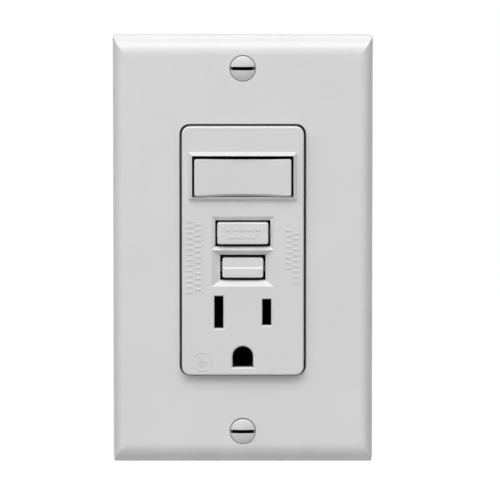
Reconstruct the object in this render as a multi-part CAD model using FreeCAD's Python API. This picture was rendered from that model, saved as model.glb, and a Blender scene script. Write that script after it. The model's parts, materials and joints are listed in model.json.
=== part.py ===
import FreeCAD, Part
import math
import os

# A single-gang wall outlet: a residual-current (ground-fault) receptacle with a rocker switch above it,
# behind a bevelled cover plate. Millimetres. +Z is up, the front faces -Y and +X is the viewer's right.
# The origin is the centre of the device on the wall plane: the plate's rim and the strap's back are on Y = 0.

V = FreeCAD.Vector
ORIGIN = V(0, 0, 0)
AXIS_DIRECTION = {"x": V(1, 0, 0), "y": V(0, 1, 0), "z": V(0, 0, 1)}
MARGIN = 1.0  # how far a cutting tool runs past what it cuts

# ---- driving dimensions: plate ----
PLATE_W, PLATE_H, PLATE_D = 69.0, 114.3, 5.6
PLATE_CORNER_R = 1.4
PLATE_EDGE = 2.1  # height of the plate's upright side below the bevel
PLATE_DRAFT = 0.25
SIDE_BEVEL, END_BEVEL = 3.4, 5.4
PLATE_WEB, PLATE_WALL = 2.2, 1.9
OPENING_W, OPENING_H, OPENING_R = 33.4, 66.95, 2.5
OPENING_EDGE_R = 0.3
OPENING_LIFT = 0.1  # the opening sits this much high, so the device rests on its lower edge
OPENING_LIP, OPENING_LIP_T = 1.2, 0.5  # thickening behind the opening's edge
PLATE_BOSS_R, PLATE_HOLE_R, PLATE_SEAT_R, PLATE_SEAT_DEPTH = 2.9, 2.05, 3.6, 1.75
RIB_X, RIB_T, RIB_BACK, RIB_END_Z = 28.0, 1.1, -0.9, 54.0
CROSS_RIB_X, CROSS_RIB_ZS = 23.0, (-42.0, -24.0, 0.0, 24.0, 42.0)

# ---- driving dimensions: standard spacings of a single-gang box ----
PLATE_SCREW_Z = 96.84 / 2
BOX_SCREW_Z = 83.34 / 2
BLADE_SPACING = 12.7
GROUND_DROP = 11.9

# ---- driving dimensions: depth stations along Y ----
FACE_Y = -7.6
FLANGE_FRONT_Y = -2.6
STRAP_T = 1.2
FACE_T = 2.0
BODY_DEPTH = 27.0

# ---- front cover ----
FACE_W, FACE_H, FACE_R = 32.3, 66.3, 2.2
FLANGE_W, FLANGE_H, FLANGE_R = 42.0, 70.0, 2.5
COVER_WALL, COVER_EDGE_R = 1.6, 0.5
COLLAR_BACK, COLLAR_REACH = -3.6, 1.2  # the wall round the rocker window, behind the face
DIVIDER_Z0, DIVIDER_Z1, DIVIDER_BACK = -10.9, -9.7, -3.2
BOSS_X, BOSS_Z, BOSS_R, BOSS_END_Y = 17.0, 31.0, 2.3, 6.3

# ---- rocker switch ----
ROCKER_Z, ROCKER_PIVOT_Y = 19.77, -6.7
ROCKER_W, ROCKER_UP, ROCKER_DOWN = 25.7, 4.7, 4.98  # face width, and its reach above and below the pivot
ROCKER_FRONT = 2.2  # face ahead of the pivot when level
ROCKER_BACK = 1.9
ROCKER_TILT = 5.0  # degrees each side of level
ROCKER_DISH = 0.6
ROCKER_CORNER_R, ROCKER_EDGE_R, ROCKER_WALL = 0.55, 0.3, 1.3
ROCKER_ARCH, ARCH_SLOPE, ARCH_EDGE_R = 0.5, 45.0, 0.2  # rise of the lower edge, and the slope behind it
SKIRT_R = math.hypot(ROCKER_FRONT, ROCKER_DOWN)  # the lower skirt is round about the pivot
SKIRT_GAP = 0.15
WINDOW_W, WINDOW_Z1 = 26.9, 25.4
FRAME_RISE, FRAME_CREST, FRAME_SIDE, FRAME_TOP, FRAME_FOOT = 1.0, 0.15, 1.0, 1.05, 0.85
WINDOW_Z0 = ROCKER_Z - math.sqrt((SKIRT_R + SKIRT_GAP)**2 - (ROCKER_PIVOT_Y - FACE_Y + FRAME_RISE)**2)
PIN_R, PIN_ROOT, HUB_R, HUB_ROOT = 0.9, 8.7, 1.5, 10.3
POST_X0, POST_X1, POST_HALF_Z, POST_GRIP, POST_PLAY = 8.8, 10.1, 1.5, 0.5, 0.06
LEG_END = 8.3
PLUNGER_R, PLUNGER_REACH, PLUNGER_L = 1.05, 9.2, 4.0

# ---- buttons ----
RESET_Z, RESET_W, RESET_H = 4.8, 13.5, 5.8
RESET_OPENING = (-7.3, 7.3, 1.15, 8.2)  # x0, x1, z0, z1
RESET_RECESS_DEPTH, RESET_PROUD = 0.6, 0.7
TEST_Z, TEST_W, TEST_H = -4.5, 10.8, 5.3
TEST_OPENING = (-6.0, 6.0, -7.9, -1.1)
TEST_RECESS_DEPTH, TEST_PROUD = 1.4, -0.3
TEST_STEP, TEST_SHOULDER = 0.4, 0.4  # how far the upper half steps back, and the height of the slope between
RECESS_HALF_W, RECESS_TOP, RECESS_SPLIT, RECESS_FOOT = 8.25, 9.25, 0.25, -9.45
GUIDE_BACK = -4.7  # back of the wall that the buttons slide in
BUTTON_FLANGE_Y, BUTTON_FLANGE_T = -4.4, 1.0
BUTTON_BACK = BUTTON_FLANGE_Y + BUTTON_FLANGE_T
SPRING_Y0 = BUTTON_BACK + 0.05
BUTTON_EDGE_R, BUTTON_TAB_REACH, BUTTON_TAB_HALF = 0.4, 0.6, 1.2
GRIP_PITCH, GRIP_HALF_W, GRIP_HALF_H, GRIP_RISE, GRIP_ROW = 2.0, 0.65, 0.38, 0.12, 0.95
STEM_R, STEM_BASE_Y, STEM_HEAD_R, STEM_HEAD_Y = 1.0, -4.65, 1.7, 13.4
TEST_PIN_R, TEST_PIN_TIP = 0.9, 2.5
TEST_ANCHOR_X = 9.2
TEST_BLADE_Y, TEST_BLADE_T = 2.75, 0.3

# ---- receptacle ----
BLADE_Z = -16.45
GROUND_Z = BLADE_Z - GROUND_DROP
SLOT_W, NEUTRAL_SLOT_H, HOT_SLOT_H = 2.4, 8.7, 7.1
SLOT_LIFT = 0.1  # the slots stand this much above the blades' own height
GROUND_SLOT_W, GROUND_SLOT_H = 5.5, 5.7
GROUND_SLOT_TOP = 2.95  # top of the ground slot above the pin's axis
SLOT_LEAD_IN = 0.3

# ---- rear housing ----
WALL = 1.6
BACK_T = 1.8
LABEL_W, LABEL_H, LABEL_Z = 20.0, 30.0, 10.0
CAVITY_W, CAVITY_H = FLANGE_W - 2 * WALL, FLANGE_H - 2 * WALL
TERMINAL_ZS = (23.0, 1.0, -21.0)
TERMINAL_Y = 14.25
WELL_X0, WELL_Y0, WELL_Y1, WELL_HALF_Z = 14.5, 7.7, 20.8, 5.2
WELL_WALL = 1.2
WIRE_X, WIRE_HALF_Z, WIRE_R = 16.2, 2.9, 1.25
TAIL_HALF_Z = 1.0
BOARD_Y0, BOARD_T = 22.6, 1.4
LEAD_HALF, LEAD_END_Y = 0.22, BOARD_Y0 - 0.02
RESISTOR_PLACES = ((-1.2, -3.2), (1.6, -3.2), (-12.0, 14.0))
BOSS_CORNERS = [(x, z) for x in (BOSS_X, -BOSS_X) for z in (BOSS_Z, -BOSS_Z)]
BOARD_HOLES = [(x, z) for x in (11.5, -11.5) for z in (28.4, -28.4)]

# ---- contacts ----
DECK_Y0, DECK_Y1, DECK_CORNER_R, CARRIER_BACK = 0.3, 2.0, 1.5, 4.9
BUS_X0, BUS_Y0, BUS_T = 14.55, 5.0, 0.9
BUS_X1 = BUS_X0 + BUS_T
ARM_X, ARM_HALF_W, ARM_Y0, ARM_T, ARM_PIVOT_Z, ARM_END_Z = 7.0, 1.9, 6.9, 0.5, -9.0, 8.1
PAD_R, PAD_T, PAD_Z = 1.3, 0.4, 6.5
GRIP_HEIGHT = 6.2
SWITCH_BAR_HALF_Z, SWITCH_PAD_R, SWITCH_PAD_DROP = 1.4, 1.2, 4.6
BLADE_PIVOT_Y, BLADE_TILT, BLADE_T = 3.3, 7.0, 0.6

# ---- trip mechanism ----
LATCH_Y0, LATCH_Y1, LATCH_Z0, LATCH_Z1, LATCH_HALF_W = 7.5, 12.3, 0.2, 8.2, 4.8
LATCH_LIFT = 1.3
LEG_Z0, LEG_Z1, LEG_BACK = 8.9, 9.7, 19.4
COIL_Y, COIL_HALF = 17.55, 4.8
COIL_Z0, COIL_Z1 = 12.2, 27.6
SENSOR_Z, SENSOR_HALF = -17.5, 7.9

# ---- strap ----
STRAP_HALF_W = 14.6
EAR_HALF_W, EAR_Z0, EAR_Z1 = 21.0, 46.2, 53.2
EAR_COLLAR_R, EAR_COLLAR_T = 2.9, 1.3
BOX_SLOT_HALF, BOX_SLOT_R = 1.55, 2.0
GROUND_TAB_X0, GROUND_TAB_DEPTH, GROUND_TAB_HALF = -15.2, 9.5, 4.2
GROUND_SCREW_Y, GROUND_SCREW_Z = 4.7, -41.2

# ---- threads, as their outer radius ----
SCREW_R = 1.75
HOLE_R = 1.85

# ---- fasteners ----
PLATE_HEAD_R, PLATE_HEAD_CROWN, PLATE_HEAD_RIM, PLATE_SEAT_L = 3.32, 0.85, 0.15, 1.72
PLATE_SLOT_HALF, PLATE_SLOT_DEPTH, PLATE_SHANK_L = 0.45, 0.95, 13.4
BOX_HEAD_R, BOX_HEAD_T, BOX_NECK_R, BOX_THREAD_Y0, BOX_SCREW_END = 3.5, 1.85, 1.4, 0.45, 24.0
RETAINER_Y0, RETAINER_T = 0.05, 0.35
TERMINAL_HEAD_X, TERMINAL_HEAD_T, TERMINAL_HEAD_R = 18.05, 2.1, 3.75
GROUND_HEAD_R, GROUND_HEAD_T = 3.75, 3.0
RIVET_R, RIVET_XS = 1.0, (5.3, -5.3)
TIP_TAPER = 0.7
ASSEMBLY_HEAD_R, ASSEMBLY_HEAD_T, ASSEMBLY_SHANK_R, ASSEMBLY_START_Y = 2.8, 1.5, 1.15, 2.0


# =============================== helpers ===============================
def box(x0, x1, y0, y1, z0, z1):
    return Part.makeBox(x1 - x0, y1 - y0, z1 - z0, V(x0, y0, z0))


def cylinder(axis, r, start, length, at):
    """A cylinder along a named axis from `start`, centred on the other two coordinates in `at`."""
    a, b = at
    base = {"x": V(start, a, b), "y": V(a, start, b), "z": V(a, b, start)}[axis]
    return Part.makeCylinder(r, length, base, AXIS_DIRECTION[axis])


def tube(axis, r_out, r_in, start, length, at):
    hole = cylinder(axis, r_in, start - MARGIN, length + 2 * MARGIN, at)
    return cylinder(axis, r_out, start, length, at).cut(hole)


def cone_y(r0, y0, r1, y1, x, z):
    return Part.makeCone(r0, r1, y1 - y0, V(x, y0, z), AXIS_DIRECTION["y"])


def rounded_wire(w, h, r, y, cx=0.0, cz=0.0):
    """A rectangle with round corners in the plane of constant y."""
    x0, x1, z0, z1 = cx - w / 2, cx + w / 2, cz - h / 2, cz + h / 2
    d = r * (1 - math.sqrt(0.5))
    corners = [
        ((x1, z0 + r), (x1 - d, z0 + d), (x1 - r, z0)),
        ((x0 + r, z0), (x0 + d, z0 + d), (x0, z0 + r)),
        ((x0, z1 - r), (x0 + d, z1 - d), (x0 + r, z1)),
        ((x1 - r, z1), (x1 - d, z1 - d), (x1, z1 - r)),
    ]
    edges = []
    for i, (a, m, b) in enumerate(corners):
        points = [V(p[0], y, p[1]) for p in (a, m, b)]
        edges.append(Part.Arc(*points).toShape())
        following = corners[(i + 1) % 4][0]
        edges.append(Part.LineSegment(points[2], V(following[0], y, following[1])).toShape())
    return Part.Wire(edges)


def rounded_block(w, h, r, y0, y1, cx=0.0, cz=0.0):
    return Part.Face(rounded_wire(w, h, r, y0, cx, cz)).extrude(V(0, y1 - y0, 0))


def frustum(outer, y0, inner, y1):
    """A four-sided taper between two rectangles (x0, x1, z0, z1) at two stations of y."""
    wires = []
    for (x0, x1, z0, z1), y in ((outer, y0), (inner, y1)):
        corners = [V(x0, y, z0), V(x1, y, z0), V(x1, y, z1), V(x0, y, z1)]
        wires.append(Part.makePolygon(corners + corners[:1]))
    return Part.makeLoft(wires, True, True)


def prism(axis, points, start, end):
    """Extrudes a closed outline along an axis. Points hold the other two coordinates in X, Y, Z order."""
    place = {
        "x": lambda p: V(start, p[0], p[1]),
        "y": lambda p: V(p[0], start, p[1]),
        "z": lambda p: V(p[0], p[1], start),
    }[axis]
    corners = [place(p) for p in points]
    return Part.Face(Part.makePolygon(corners + corners[:1])).extrude(AXIS_DIRECTION[axis] * (end - start))


def round_nosed_pin(r, back, tip, x, z):
    """A pin along Y from `back` to a half-round tip."""
    side, point = V(r, tip - r, 0), V(0, tip, 0)
    nose = Part.Arc(side, V(r * math.sqrt(0.5), tip - r * (1 - math.sqrt(0.5)), 0), point).toShape()
    rest = Part.makePolygon([point, V(0, back, 0), V(r, back, 0), side])
    pin = Part.Face(Part.Wire([nose] + rest.Edges)).revolve(ORIGIN, AXIS_DIRECTION["y"], 360)
    pin.translate(V(x, 0, z))
    return pin


def turned(shape, centre, axis, degrees):
    copy = shape.copy()
    copy.rotate(centre, AXIS_DIRECTION[axis], degrees)
    return copy


def mirrored_x(shape):
    return shape.mirror(ORIGIN, V(1, 0, 0))


def fused(shapes):
    whole = shapes[0]
    return whole.multiFuse(shapes[1:]).removeSplitter() if len(shapes) > 1 else whole


def cut_all(shape, tools):
    return shape.cut(Part.makeCompound(tools)) if tools else shape


def edges_in(shape, x=None, y=None, z=None):
    """The edges whose box lies inside the given spans."""
    found = []
    for e in shape.Edges:
        b = e.BoundBox
        spans = ((x, b.XMin, b.XMax), (y, b.YMin, b.YMax), (z, b.ZMin, b.ZMax))
        if all(s is None or (s[0] <= low and high <= s[1]) for s, low, high in spans):
            found.append(e)
    return found


def round_edges(shape):
    return [e for e in shape.Edges if isinstance(e.Curve, Part.Circle)]


def holes_y(r, y0, y1, places):
    return [cylinder("y", r, y0, y1 - y0, place) for place in places]


def coil_spring(axis, mean_r, wire_r, start, length, turns, at):
    """A round-wire helical spring with its ends at `start` and `start + length`."""
    pitch = (length - 2 * wire_r) / turns
    helix = Part.makeHelix(pitch, pitch * turns, mean_r)
    section = Part.Wire(Part.makeCircle(wire_r, V(mean_r, 0, 0), V(0, 1, pitch / (2 * math.pi * mean_r))))
    spring = Part.Wire(helix.Edges).makePipeShell([section], True, True)
    spring.translate(V(0, 0, wire_r))
    if axis == "y":
        spring.rotate(ORIGIN, AXIS_DIRECTION["x"], -90)
        spring.translate(V(at[0], start, at[1]))
    else:
        spring.translate(V(at[0], at[1], start))
    return spring


def both_sides(shape):
    return [shape, mirrored_x(shape)]


def thinned(shape, tools):
    """Cuts one tool after another, then joins the faces that lie in one surface."""
    for tool in tools:
        shape = shape.cut(tool)
    return shape.removeSplitter()


def export(name, *solids):
    """Writes one node. Several solids become one group of separate solids."""
    flat = [s for shape in solids for s in shape.Solids]
    for s in flat:
        if not s.isValid() or s.Volume <= 0:
            raise ValueError(f"{name} has a bad solid")
    shape = flat[0] if len(flat) == 1 else Part.makeCompound(flat)
    shape.exportStep(f"parts/{name}.step")
    print(f"{name:26s} solids {len(flat):2d}  volume {sum(s.Volume for s in flat):9.2f} mm3")


# =============================== cover plate ===============================
def bevel_profile(half, bevel, point):
    """The plate's section from the rim on the wall to the flat front, as a wire.
    `point` maps (across, y) to a place in space, so the same section serves the sides and the ends."""
    rise = PLATE_D - PLATE_EDGE
    reach = bevel - PLATE_DRAFT
    r = (reach**2 + rise**2) / (2 * rise)
    turn = math.asin(reach / r) / 2
    centre = (half - bevel, -PLATE_D + r)
    edges = []
    for sign in (1, -1):
        rim = point(sign * half, 0)
        shoulder = point(sign * (half - PLATE_DRAFT), -PLATE_EDGE)
        middle = point(sign * (centre[0] + r * math.sin(turn)), centre[1] - r * math.cos(turn))
        crest = point(sign * centre[0], -PLATE_D)
        edges += [Part.LineSegment(rim, shoulder).toShape(), Part.Arc(shoulder, middle, crest).toShape()]
    edges.append(Part.LineSegment(point(centre[0], -PLATE_D), point(-centre[0], -PLATE_D)).toShape())
    edges.append(Part.LineSegment(point(-half, 0), point(half, 0)).toShape())
    return Part.Wire(Part.__sortEdges__(edges))


def plate_body():
    sides = bevel_profile(PLATE_W / 2, SIDE_BEVEL, lambda x, y: V(x, y, -PLATE_H / 2))
    ends = bevel_profile(PLATE_H / 2, END_BEVEL, lambda z, y: V(-PLATE_W / 2, y, z))
    across = Part.Face(sides).extrude(V(0, 0, PLATE_H))
    along = Part.Face(ends).extrude(V(PLATE_W, 0, 0))
    outline = rounded_block(PLATE_W, PLATE_H, PLATE_CORNER_R, -PLATE_D - MARGIN, 0)
    body = across.common(along).common(outline)
    hollow_w, hollow_h = PLATE_W - 2 * PLATE_WALL, PLATE_H - 2 * PLATE_WALL
    hollow = rounded_block(hollow_w, hollow_h, 1.0, -PLATE_D + PLATE_WEB, MARGIN)
    return body.cut(hollow)


def plate_lip():
    """The thickening behind the opening's edge."""
    floor = -PLATE_D + PLATE_WEB
    w, h, r = OPENING_W + 2 * OPENING_LIP, OPENING_H + 2 * OPENING_LIP, OPENING_R + OPENING_LIP
    return rounded_block(w, h, r, floor, floor + OPENING_LIP_T, cz=OPENING_LIFT)


def plate_ribs():
    floor = -PLATE_D + PLATE_WEB
    inner_x = PLATE_W / 2 - PLATE_WALL
    ribs = []
    for side in (1, -1):
        x = side * RIB_X
        ribs.append(box(x - RIB_T / 2, x + RIB_T / 2, floor, RIB_BACK, -RIB_END_Z, RIB_END_Z))
        x0, x1 = sorted((side * CROSS_RIB_X, side * inner_x))
        ribs += [box(x0, x1, floor, RIB_BACK, z - RIB_T / 2, z + RIB_T / 2) for z in CROSS_RIB_ZS]
    return ribs


def wall_plate():
    floor = -PLATE_D + PLATE_WEB
    opening = rounded_block(OPENING_W, OPENING_H, OPENING_R, -PLATE_D - MARGIN, MARGIN, cz=OPENING_LIFT)
    body = fused([plate_body(), plate_lip()]).cut(opening)
    rim_w, rim_h = OPENING_W / 2 + 0.2, OPENING_H / 2 + OPENING_LIFT + 0.2
    rim = edges_in(body, (-rim_w, rim_w), (-PLATE_D - 0.01, -PLATE_D + 0.01), (-rim_h, rim_h))
    body = body.makeFillet(OPENING_EDGE_R, rim)
    bosses, holes = [], []
    for z in (PLATE_SCREW_Z, -PLATE_SCREW_Z):
        bosses.append(cylinder("y", PLATE_BOSS_R, floor, -STRAP_T - floor, (0, z)))
        holes.append(cylinder("y", PLATE_HOLE_R, -PLATE_D - MARGIN, PLATE_D + MARGIN, (0, z)))
        holes.append(cone_y(PLATE_SEAT_R, -PLATE_D, PLATE_HOLE_R, -PLATE_D + PLATE_SEAT_DEPTH, 0, z))
    return fused([body] + bosses + plate_ribs()).cut(Part.makeCompound(holes))


def plate_screw(z):
    """An oval-head slotted 6-32 screw, its slot level."""
    top = -PLATE_D - 0.1
    crest = top - PLATE_HEAD_CROWN
    sphere_r = (PLATE_HEAD_R**2 + PLATE_HEAD_CROWN**2) / (2 * PLATE_HEAD_CROWN)
    dome = Part.makeSphere(sphere_r, V(0, crest + sphere_r, z))
    cap = dome.common(cylinder("y", PLATE_HEAD_R, crest - MARGIN, PLATE_HEAD_CROWN + MARGIN, (0, z)))
    rim = cylinder("y", PLATE_HEAD_R, top, PLATE_HEAD_RIM, (0, z))
    seat_y, end_y = top + PLATE_HEAD_RIM, top + PLATE_HEAD_RIM + PLATE_SHANK_L
    seat = cone_y(PLATE_HEAD_R, seat_y, SCREW_R, seat_y + PLATE_SEAT_L, 0, z)
    shank_y = seat_y + PLATE_SEAT_L - 0.1
    shank = cylinder("y", SCREW_R, shank_y, end_y - TIP_TAPER - shank_y, (0, z))
    tip = cone_y(SCREW_R, end_y - TIP_TAPER, SCREW_R - TIP_TAPER, end_y, 0, z)
    reach = PLATE_HEAD_R + MARGIN
    slot_z0, slot_z1 = z - PLATE_SLOT_HALF, z + PLATE_SLOT_HALF
    slot = box(-reach, reach, crest - MARGIN, top + PLATE_SLOT_DEPTH, slot_z0, slot_z1)
    return fused([cap, rim, seat, shank, tip]).cut(slot)


# =============================== front cover ===============================
def recess_tools():
    """The two tapered hollows that the buttons sit in, with their openings."""
    reset_mouth = (-RECESS_HALF_W, RECESS_HALF_W, RECESS_SPLIT, RECESS_TOP)
    test_mouth = (-RECESS_HALF_W, RECESS_HALF_W, RECESS_FOOT, RECESS_SPLIT)
    recesses = (
        (reset_mouth, RESET_OPENING, RESET_RECESS_DEPTH),
        (test_mouth, TEST_OPENING, TEST_RECESS_DEPTH),
    )
    tools = []
    for mouth, opening, depth in recesses:
        x0, x1, z0, z1 = opening
        tools.append(frustum(mouth, FACE_Y, opening, FACE_Y + depth))
        tools.append(box(x0, x1, FACE_Y - MARGIN, 0, z0, z1))
    return tools


def blade_slot(x, height, tip_y):
    """A blade slot with a bevelled mouth, as cutting tools."""
    w, h, lead, z = SLOT_W / 2, height / 2, SLOT_LEAD_IN, BLADE_Z + SLOT_LIFT
    mouth = (x - w - lead, x + w + lead, z - h - lead, z + h + lead)
    throat = (x - w, x + w, z - h, z + h)
    bevel = frustum(mouth, FACE_Y, throat, FACE_Y + lead)
    return [bevel, box(*throat[:2], FACE_Y - MARGIN, tip_y, *throat[2:])]


def ground_slot_face(grow, y):
    """The ground slot's outline: a round top on a flat foot."""
    r = GROUND_SLOT_W / 2 + grow
    centre_z = GROUND_Z + GROUND_SLOT_TOP - GROUND_SLOT_W / 2
    foot = GROUND_Z + GROUND_SLOT_TOP - GROUND_SLOT_H - grow
    arc = Part.Arc(V(r, y, centre_z), V(0, y, centre_z + r), V(-r, y, centre_z)).toShape()
    rest = Part.makePolygon([V(-r, y, centre_z), V(-r, y, foot), V(r, y, foot), V(r, y, centre_z)])
    return Part.Wire([arc] + rest.Edges)


def ground_slot(tip_y):
    wires = [ground_slot_face(SLOT_LEAD_IN, FACE_Y), ground_slot_face(0, FACE_Y + SLOT_LEAD_IN)]
    lead = Part.makeLoft(wires, True, True)
    return [lead, Part.Face(ground_slot_face(0, FACE_Y - MARGIN)).extrude(V(0, tip_y - FACE_Y + MARGIN, 0))]


def window_frame():
    """The raised frame round the rocker: ramps on all sides up to a narrow crest."""
    half = WINDOW_W / 2
    foot = (-half - FRAME_SIDE, half + FRAME_SIDE, WINDOW_Z0 - FRAME_FOOT, WINDOW_Z1 + FRAME_TOP)
    crest = (-half - FRAME_CREST, half + FRAME_CREST, WINDOW_Z0 - FRAME_CREST, WINDOW_Z1 + FRAME_CREST)
    root = frustum(foot, FACE_Y, foot, FACE_Y + COVER_EDGE_R)
    return [frustum(foot, FACE_Y, crest, FACE_Y - FRAME_RISE), root]


def window_tools():
    """The rocker's window, hollowed round the path of its lower skirt."""
    half = WINDOW_W / 2
    sweep = cylinder("x", SKIRT_R + SKIRT_GAP, -half, WINDOW_W, (ROCKER_PIVOT_Y, ROCKER_Z))
    return [box(-half, half, FACE_Y - FRAME_RISE - MARGIN, 0, WINDOW_Z0, WINDOW_Z1), sweep]


def cover_inner_walls(inner_w):
    """Walls behind the face: round the rocker window, round the buttons, and above the receptacle."""
    inside_y, half = FACE_Y + FACE_T, inner_w / 2 + 0.2
    guide_half = RESET_OPENING[1] + COLLAR_REACH
    guide_z0, guide_z1 = TEST_OPENING[2] - COLLAR_REACH, RESET_OPENING[3] + COLLAR_REACH
    return [
        box(-half, half, inside_y, COLLAR_BACK, WINDOW_Z0 - COLLAR_REACH, WINDOW_Z1 + COLLAR_REACH),
        box(-half, half, inside_y, DIVIDER_BACK, DIVIDER_Z0, DIVIDER_Z1),
        box(-guide_half, guide_half, inside_y - 0.2, GUIDE_BACK, guide_z0, guide_z1),
    ]


def front_cover():
    inside_y = FACE_Y + FACE_T
    face = rounded_block(FACE_W, FACE_H, FACE_R, FACE_Y, FLANGE_FRONT_Y)
    face = face.makeFillet(COVER_EDGE_R, edges_in(face, y=(FACE_Y - 0.01, FACE_Y + 0.01)))
    flange = rounded_block(FLANGE_W, FLANGE_H, FLANGE_R, FLANGE_FRONT_Y, -STRAP_T)
    inner_w, inner_h = FACE_W - 2 * COVER_WALL, FACE_H - 2 * COVER_WALL
    body = fused([face, flange] + window_frame())
    body = body.cut(rounded_block(inner_w, inner_h, 1.0, inside_y, MARGIN))
    bosses = holes_y(BOSS_R, -STRAP_T, BOSS_END_Y, BOSS_CORNERS)
    body = fused([body] + cover_inner_walls(inner_w) + bosses)
    tools = window_tools() + recess_tools()
    tools += blade_slot(-BLADE_SPACING / 2, NEUTRAL_SLOT_H, MARGIN)
    tools += blade_slot(BLADE_SPACING / 2, HOT_SLOT_H, MARGIN)
    tools += ground_slot(MARGIN)
    tools += holes_y(ASSEMBLY_SHANK_R + 0.1, -STRAP_T - 0.4, BOSS_END_Y + MARGIN, BOSS_CORNERS)
    return thinned(body, tools)


# =============================== rocker ===============================
def at_rocker_rest(shape):
    """Tips a shape drawn with the rocker level into its rest position: top in, bottom out."""
    return turned(shape, V(0, ROCKER_PIVOT_Y, ROCKER_Z), "x", -ROCKER_TILT)


def rocker_blank(front, back):
    """The rocker's block: a flat face, a drafted top and a lower skirt that is round about the pivot."""
    half_w = ROCKER_W / 2
    draft = (back - front) * math.tan(math.radians(ROCKER_TILT))
    turn_front = math.atan2(-ROCKER_DOWN, -ROCKER_FRONT)
    turn_back = math.atan2(-math.sqrt(SKIRT_R**2 - ROCKER_BACK**2), ROCKER_BACK)

    def on_skirt(angle):
        return V(-half_w, ROCKER_PIVOT_Y + SKIRT_R * math.cos(angle), ROCKER_Z + SKIRT_R * math.sin(angle))

    skirt_front, skirt_back = on_skirt(turn_front), on_skirt(turn_back)
    skirt = Part.Arc(skirt_front, on_skirt((turn_front + turn_back) / 2), skirt_back).toShape()
    top_front = V(-half_w, front, ROCKER_Z + ROCKER_UP)
    top_back = V(-half_w, back, ROCKER_Z + ROCKER_UP - draft)
    rest = Part.makePolygon([skirt_back, top_back, top_front, skirt_front])
    body = Part.Face(Part.Wire([skirt] + rest.Edges)).extrude(V(ROCKER_W, 0, 0))
    through = [e for e in body.Edges if e.BoundBox.YLength > back - front - 0.01]
    return body.makeFillet(ROCKER_CORNER_R, [e for e in through if e.BoundBox.XLength < 0.01])


def rocker_arch(front):
    """The tool that lifts the lower front edge into a shallow arch, leaving towards the skirt at a slope."""
    half_w = ROCKER_W / 2
    slope = math.tan(math.radians(ARCH_SLOPE))
    rise = ROCKER_ARCH + ROCKER_DISH * slope
    r = (half_w**2 + rise**2) / (2 * rise)
    y = front - MARGIN
    crown = ROCKER_Z - ROCKER_DOWN + rise + MARGIN * slope
    reach = half_w + MARGIN
    spring_z = crown - r + math.sqrt(r**2 - reach**2)
    arc = Part.Arc(V(-reach, y, spring_z), V(0, y, crown), V(reach, y, spring_z)).toShape()
    low = spring_z - 2 * ROCKER_DOWN
    corners = [(reach, spring_z), (reach, low), (-reach, low), (-reach, spring_z)]
    rest = Part.makePolygon([V(x, y, z) for x, z in corners])
    run = MARGIN + SKIRT_R
    return Part.Face(Part.Wire([arc] + rest.Edges)).extrude(V(0, run, -run * slope))


def rocker_hollow(front, back):
    """The room behind the rocker's face, with a pocket for each post it turns on."""
    half_w = ROCKER_W / 2 - ROCKER_WALL
    z0, z1 = ROCKER_Z - ROCKER_DOWN + 1.9, ROCKER_Z + ROCKER_UP - 1.5
    room = box(-half_w, half_w, front + 1.9, back + MARGIN, z0, z1)
    reach = POST_HALF_Z + 0.4
    pocket = box(POST_X0 - 0.1, POST_X1 + 0.1, front + 1.35, back, ROCKER_Z - reach, ROCKER_Z + reach)
    return [room] + both_sides(pocket)


def rocker():
    front, back = ROCKER_PIVOT_Y - ROCKER_FRONT, ROCKER_PIVOT_Y + ROCKER_BACK
    half_w, pivot = ROCKER_W / 2, (ROCKER_PIVOT_Y, ROCKER_Z)
    dish_r = (half_w**2 + ROCKER_DISH**2) / (2 * ROCKER_DISH)
    dish = cylinder("z", dish_r, ROCKER_Z - 15, 30, (0, front + ROCKER_DISH - dish_r))
    body = rocker_blank(front, back).cut(dish)
    body = body.makeFillet(ROCKER_EDGE_R, rocker_face_edges(body, front)).cut(rocker_arch(front))
    arched = [e for e in rocker_face_edges(body, front) if e.CenterOfMass.z < ROCKER_Z - ROCKER_DOWN / 2]
    body = body.makeFillet(ARCH_EDGE_R, [e for e in arched if e.BoundBox.XLength > half_w])
    body = cut_all(body, rocker_hollow(front, back))
    hubs = both_sides(cylinder("x", HUB_R, HUB_ROOT, half_w - HUB_ROOT - 0.6, pivot))
    pins = both_sides(cylinder("x", PIN_R, PIN_ROOT, HUB_ROOT - PIN_ROOT + 0.1, pivot))
    leg = box(-3.2, 3.2, front + 1.5, ROCKER_PIVOT_Y + LEG_END, ROCKER_Z - 2.0, ROCKER_Z + 2.0)
    web = box(-8.4, 8.4, front + 1.5, ROCKER_PIVOT_Y + 0.4, ROCKER_Z - 0.5, ROCKER_Z + 0.5)
    body = fused([body, leg, web] + hubs + pins)
    bore = cylinder("y", PLUNGER_R + 0.15, ROCKER_PIVOT_Y + 1.0, LEG_END, (0, ROCKER_Z))
    return at_rocker_rest(body.cut(bore))


def rocker_face_edges(body, front):
    """The edges round the dished face."""
    found = []
    for e in edges_in(body, y=(front - 0.01, front + ROCKER_DISH + 0.05)):
        middle = e.valueAt((e.FirstParameter + e.LastParameter) / 2)
        dished = front + ROCKER_DISH * (1 - (middle.x / (ROCKER_W / 2))**2)
        if abs(middle.y - dished) < 0.03:
            found.append(e)
    return found


def rocker_plunger():
    tip = ROCKER_PIVOT_Y + PLUNGER_REACH
    return at_rocker_rest(round_nosed_pin(PLUNGER_R, tip - PLUNGER_L, tip, 0, ROCKER_Z))


def rocker_spring():
    start = ROCKER_PIVOT_Y + 1.1
    end = ROCKER_PIVOT_Y + PLUNGER_REACH - PLUNGER_L - 0.1
    return at_rocker_rest(coil_spring("y", 0.8, 0.16, start, end - start, 6, (0, ROCKER_Z)))


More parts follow.
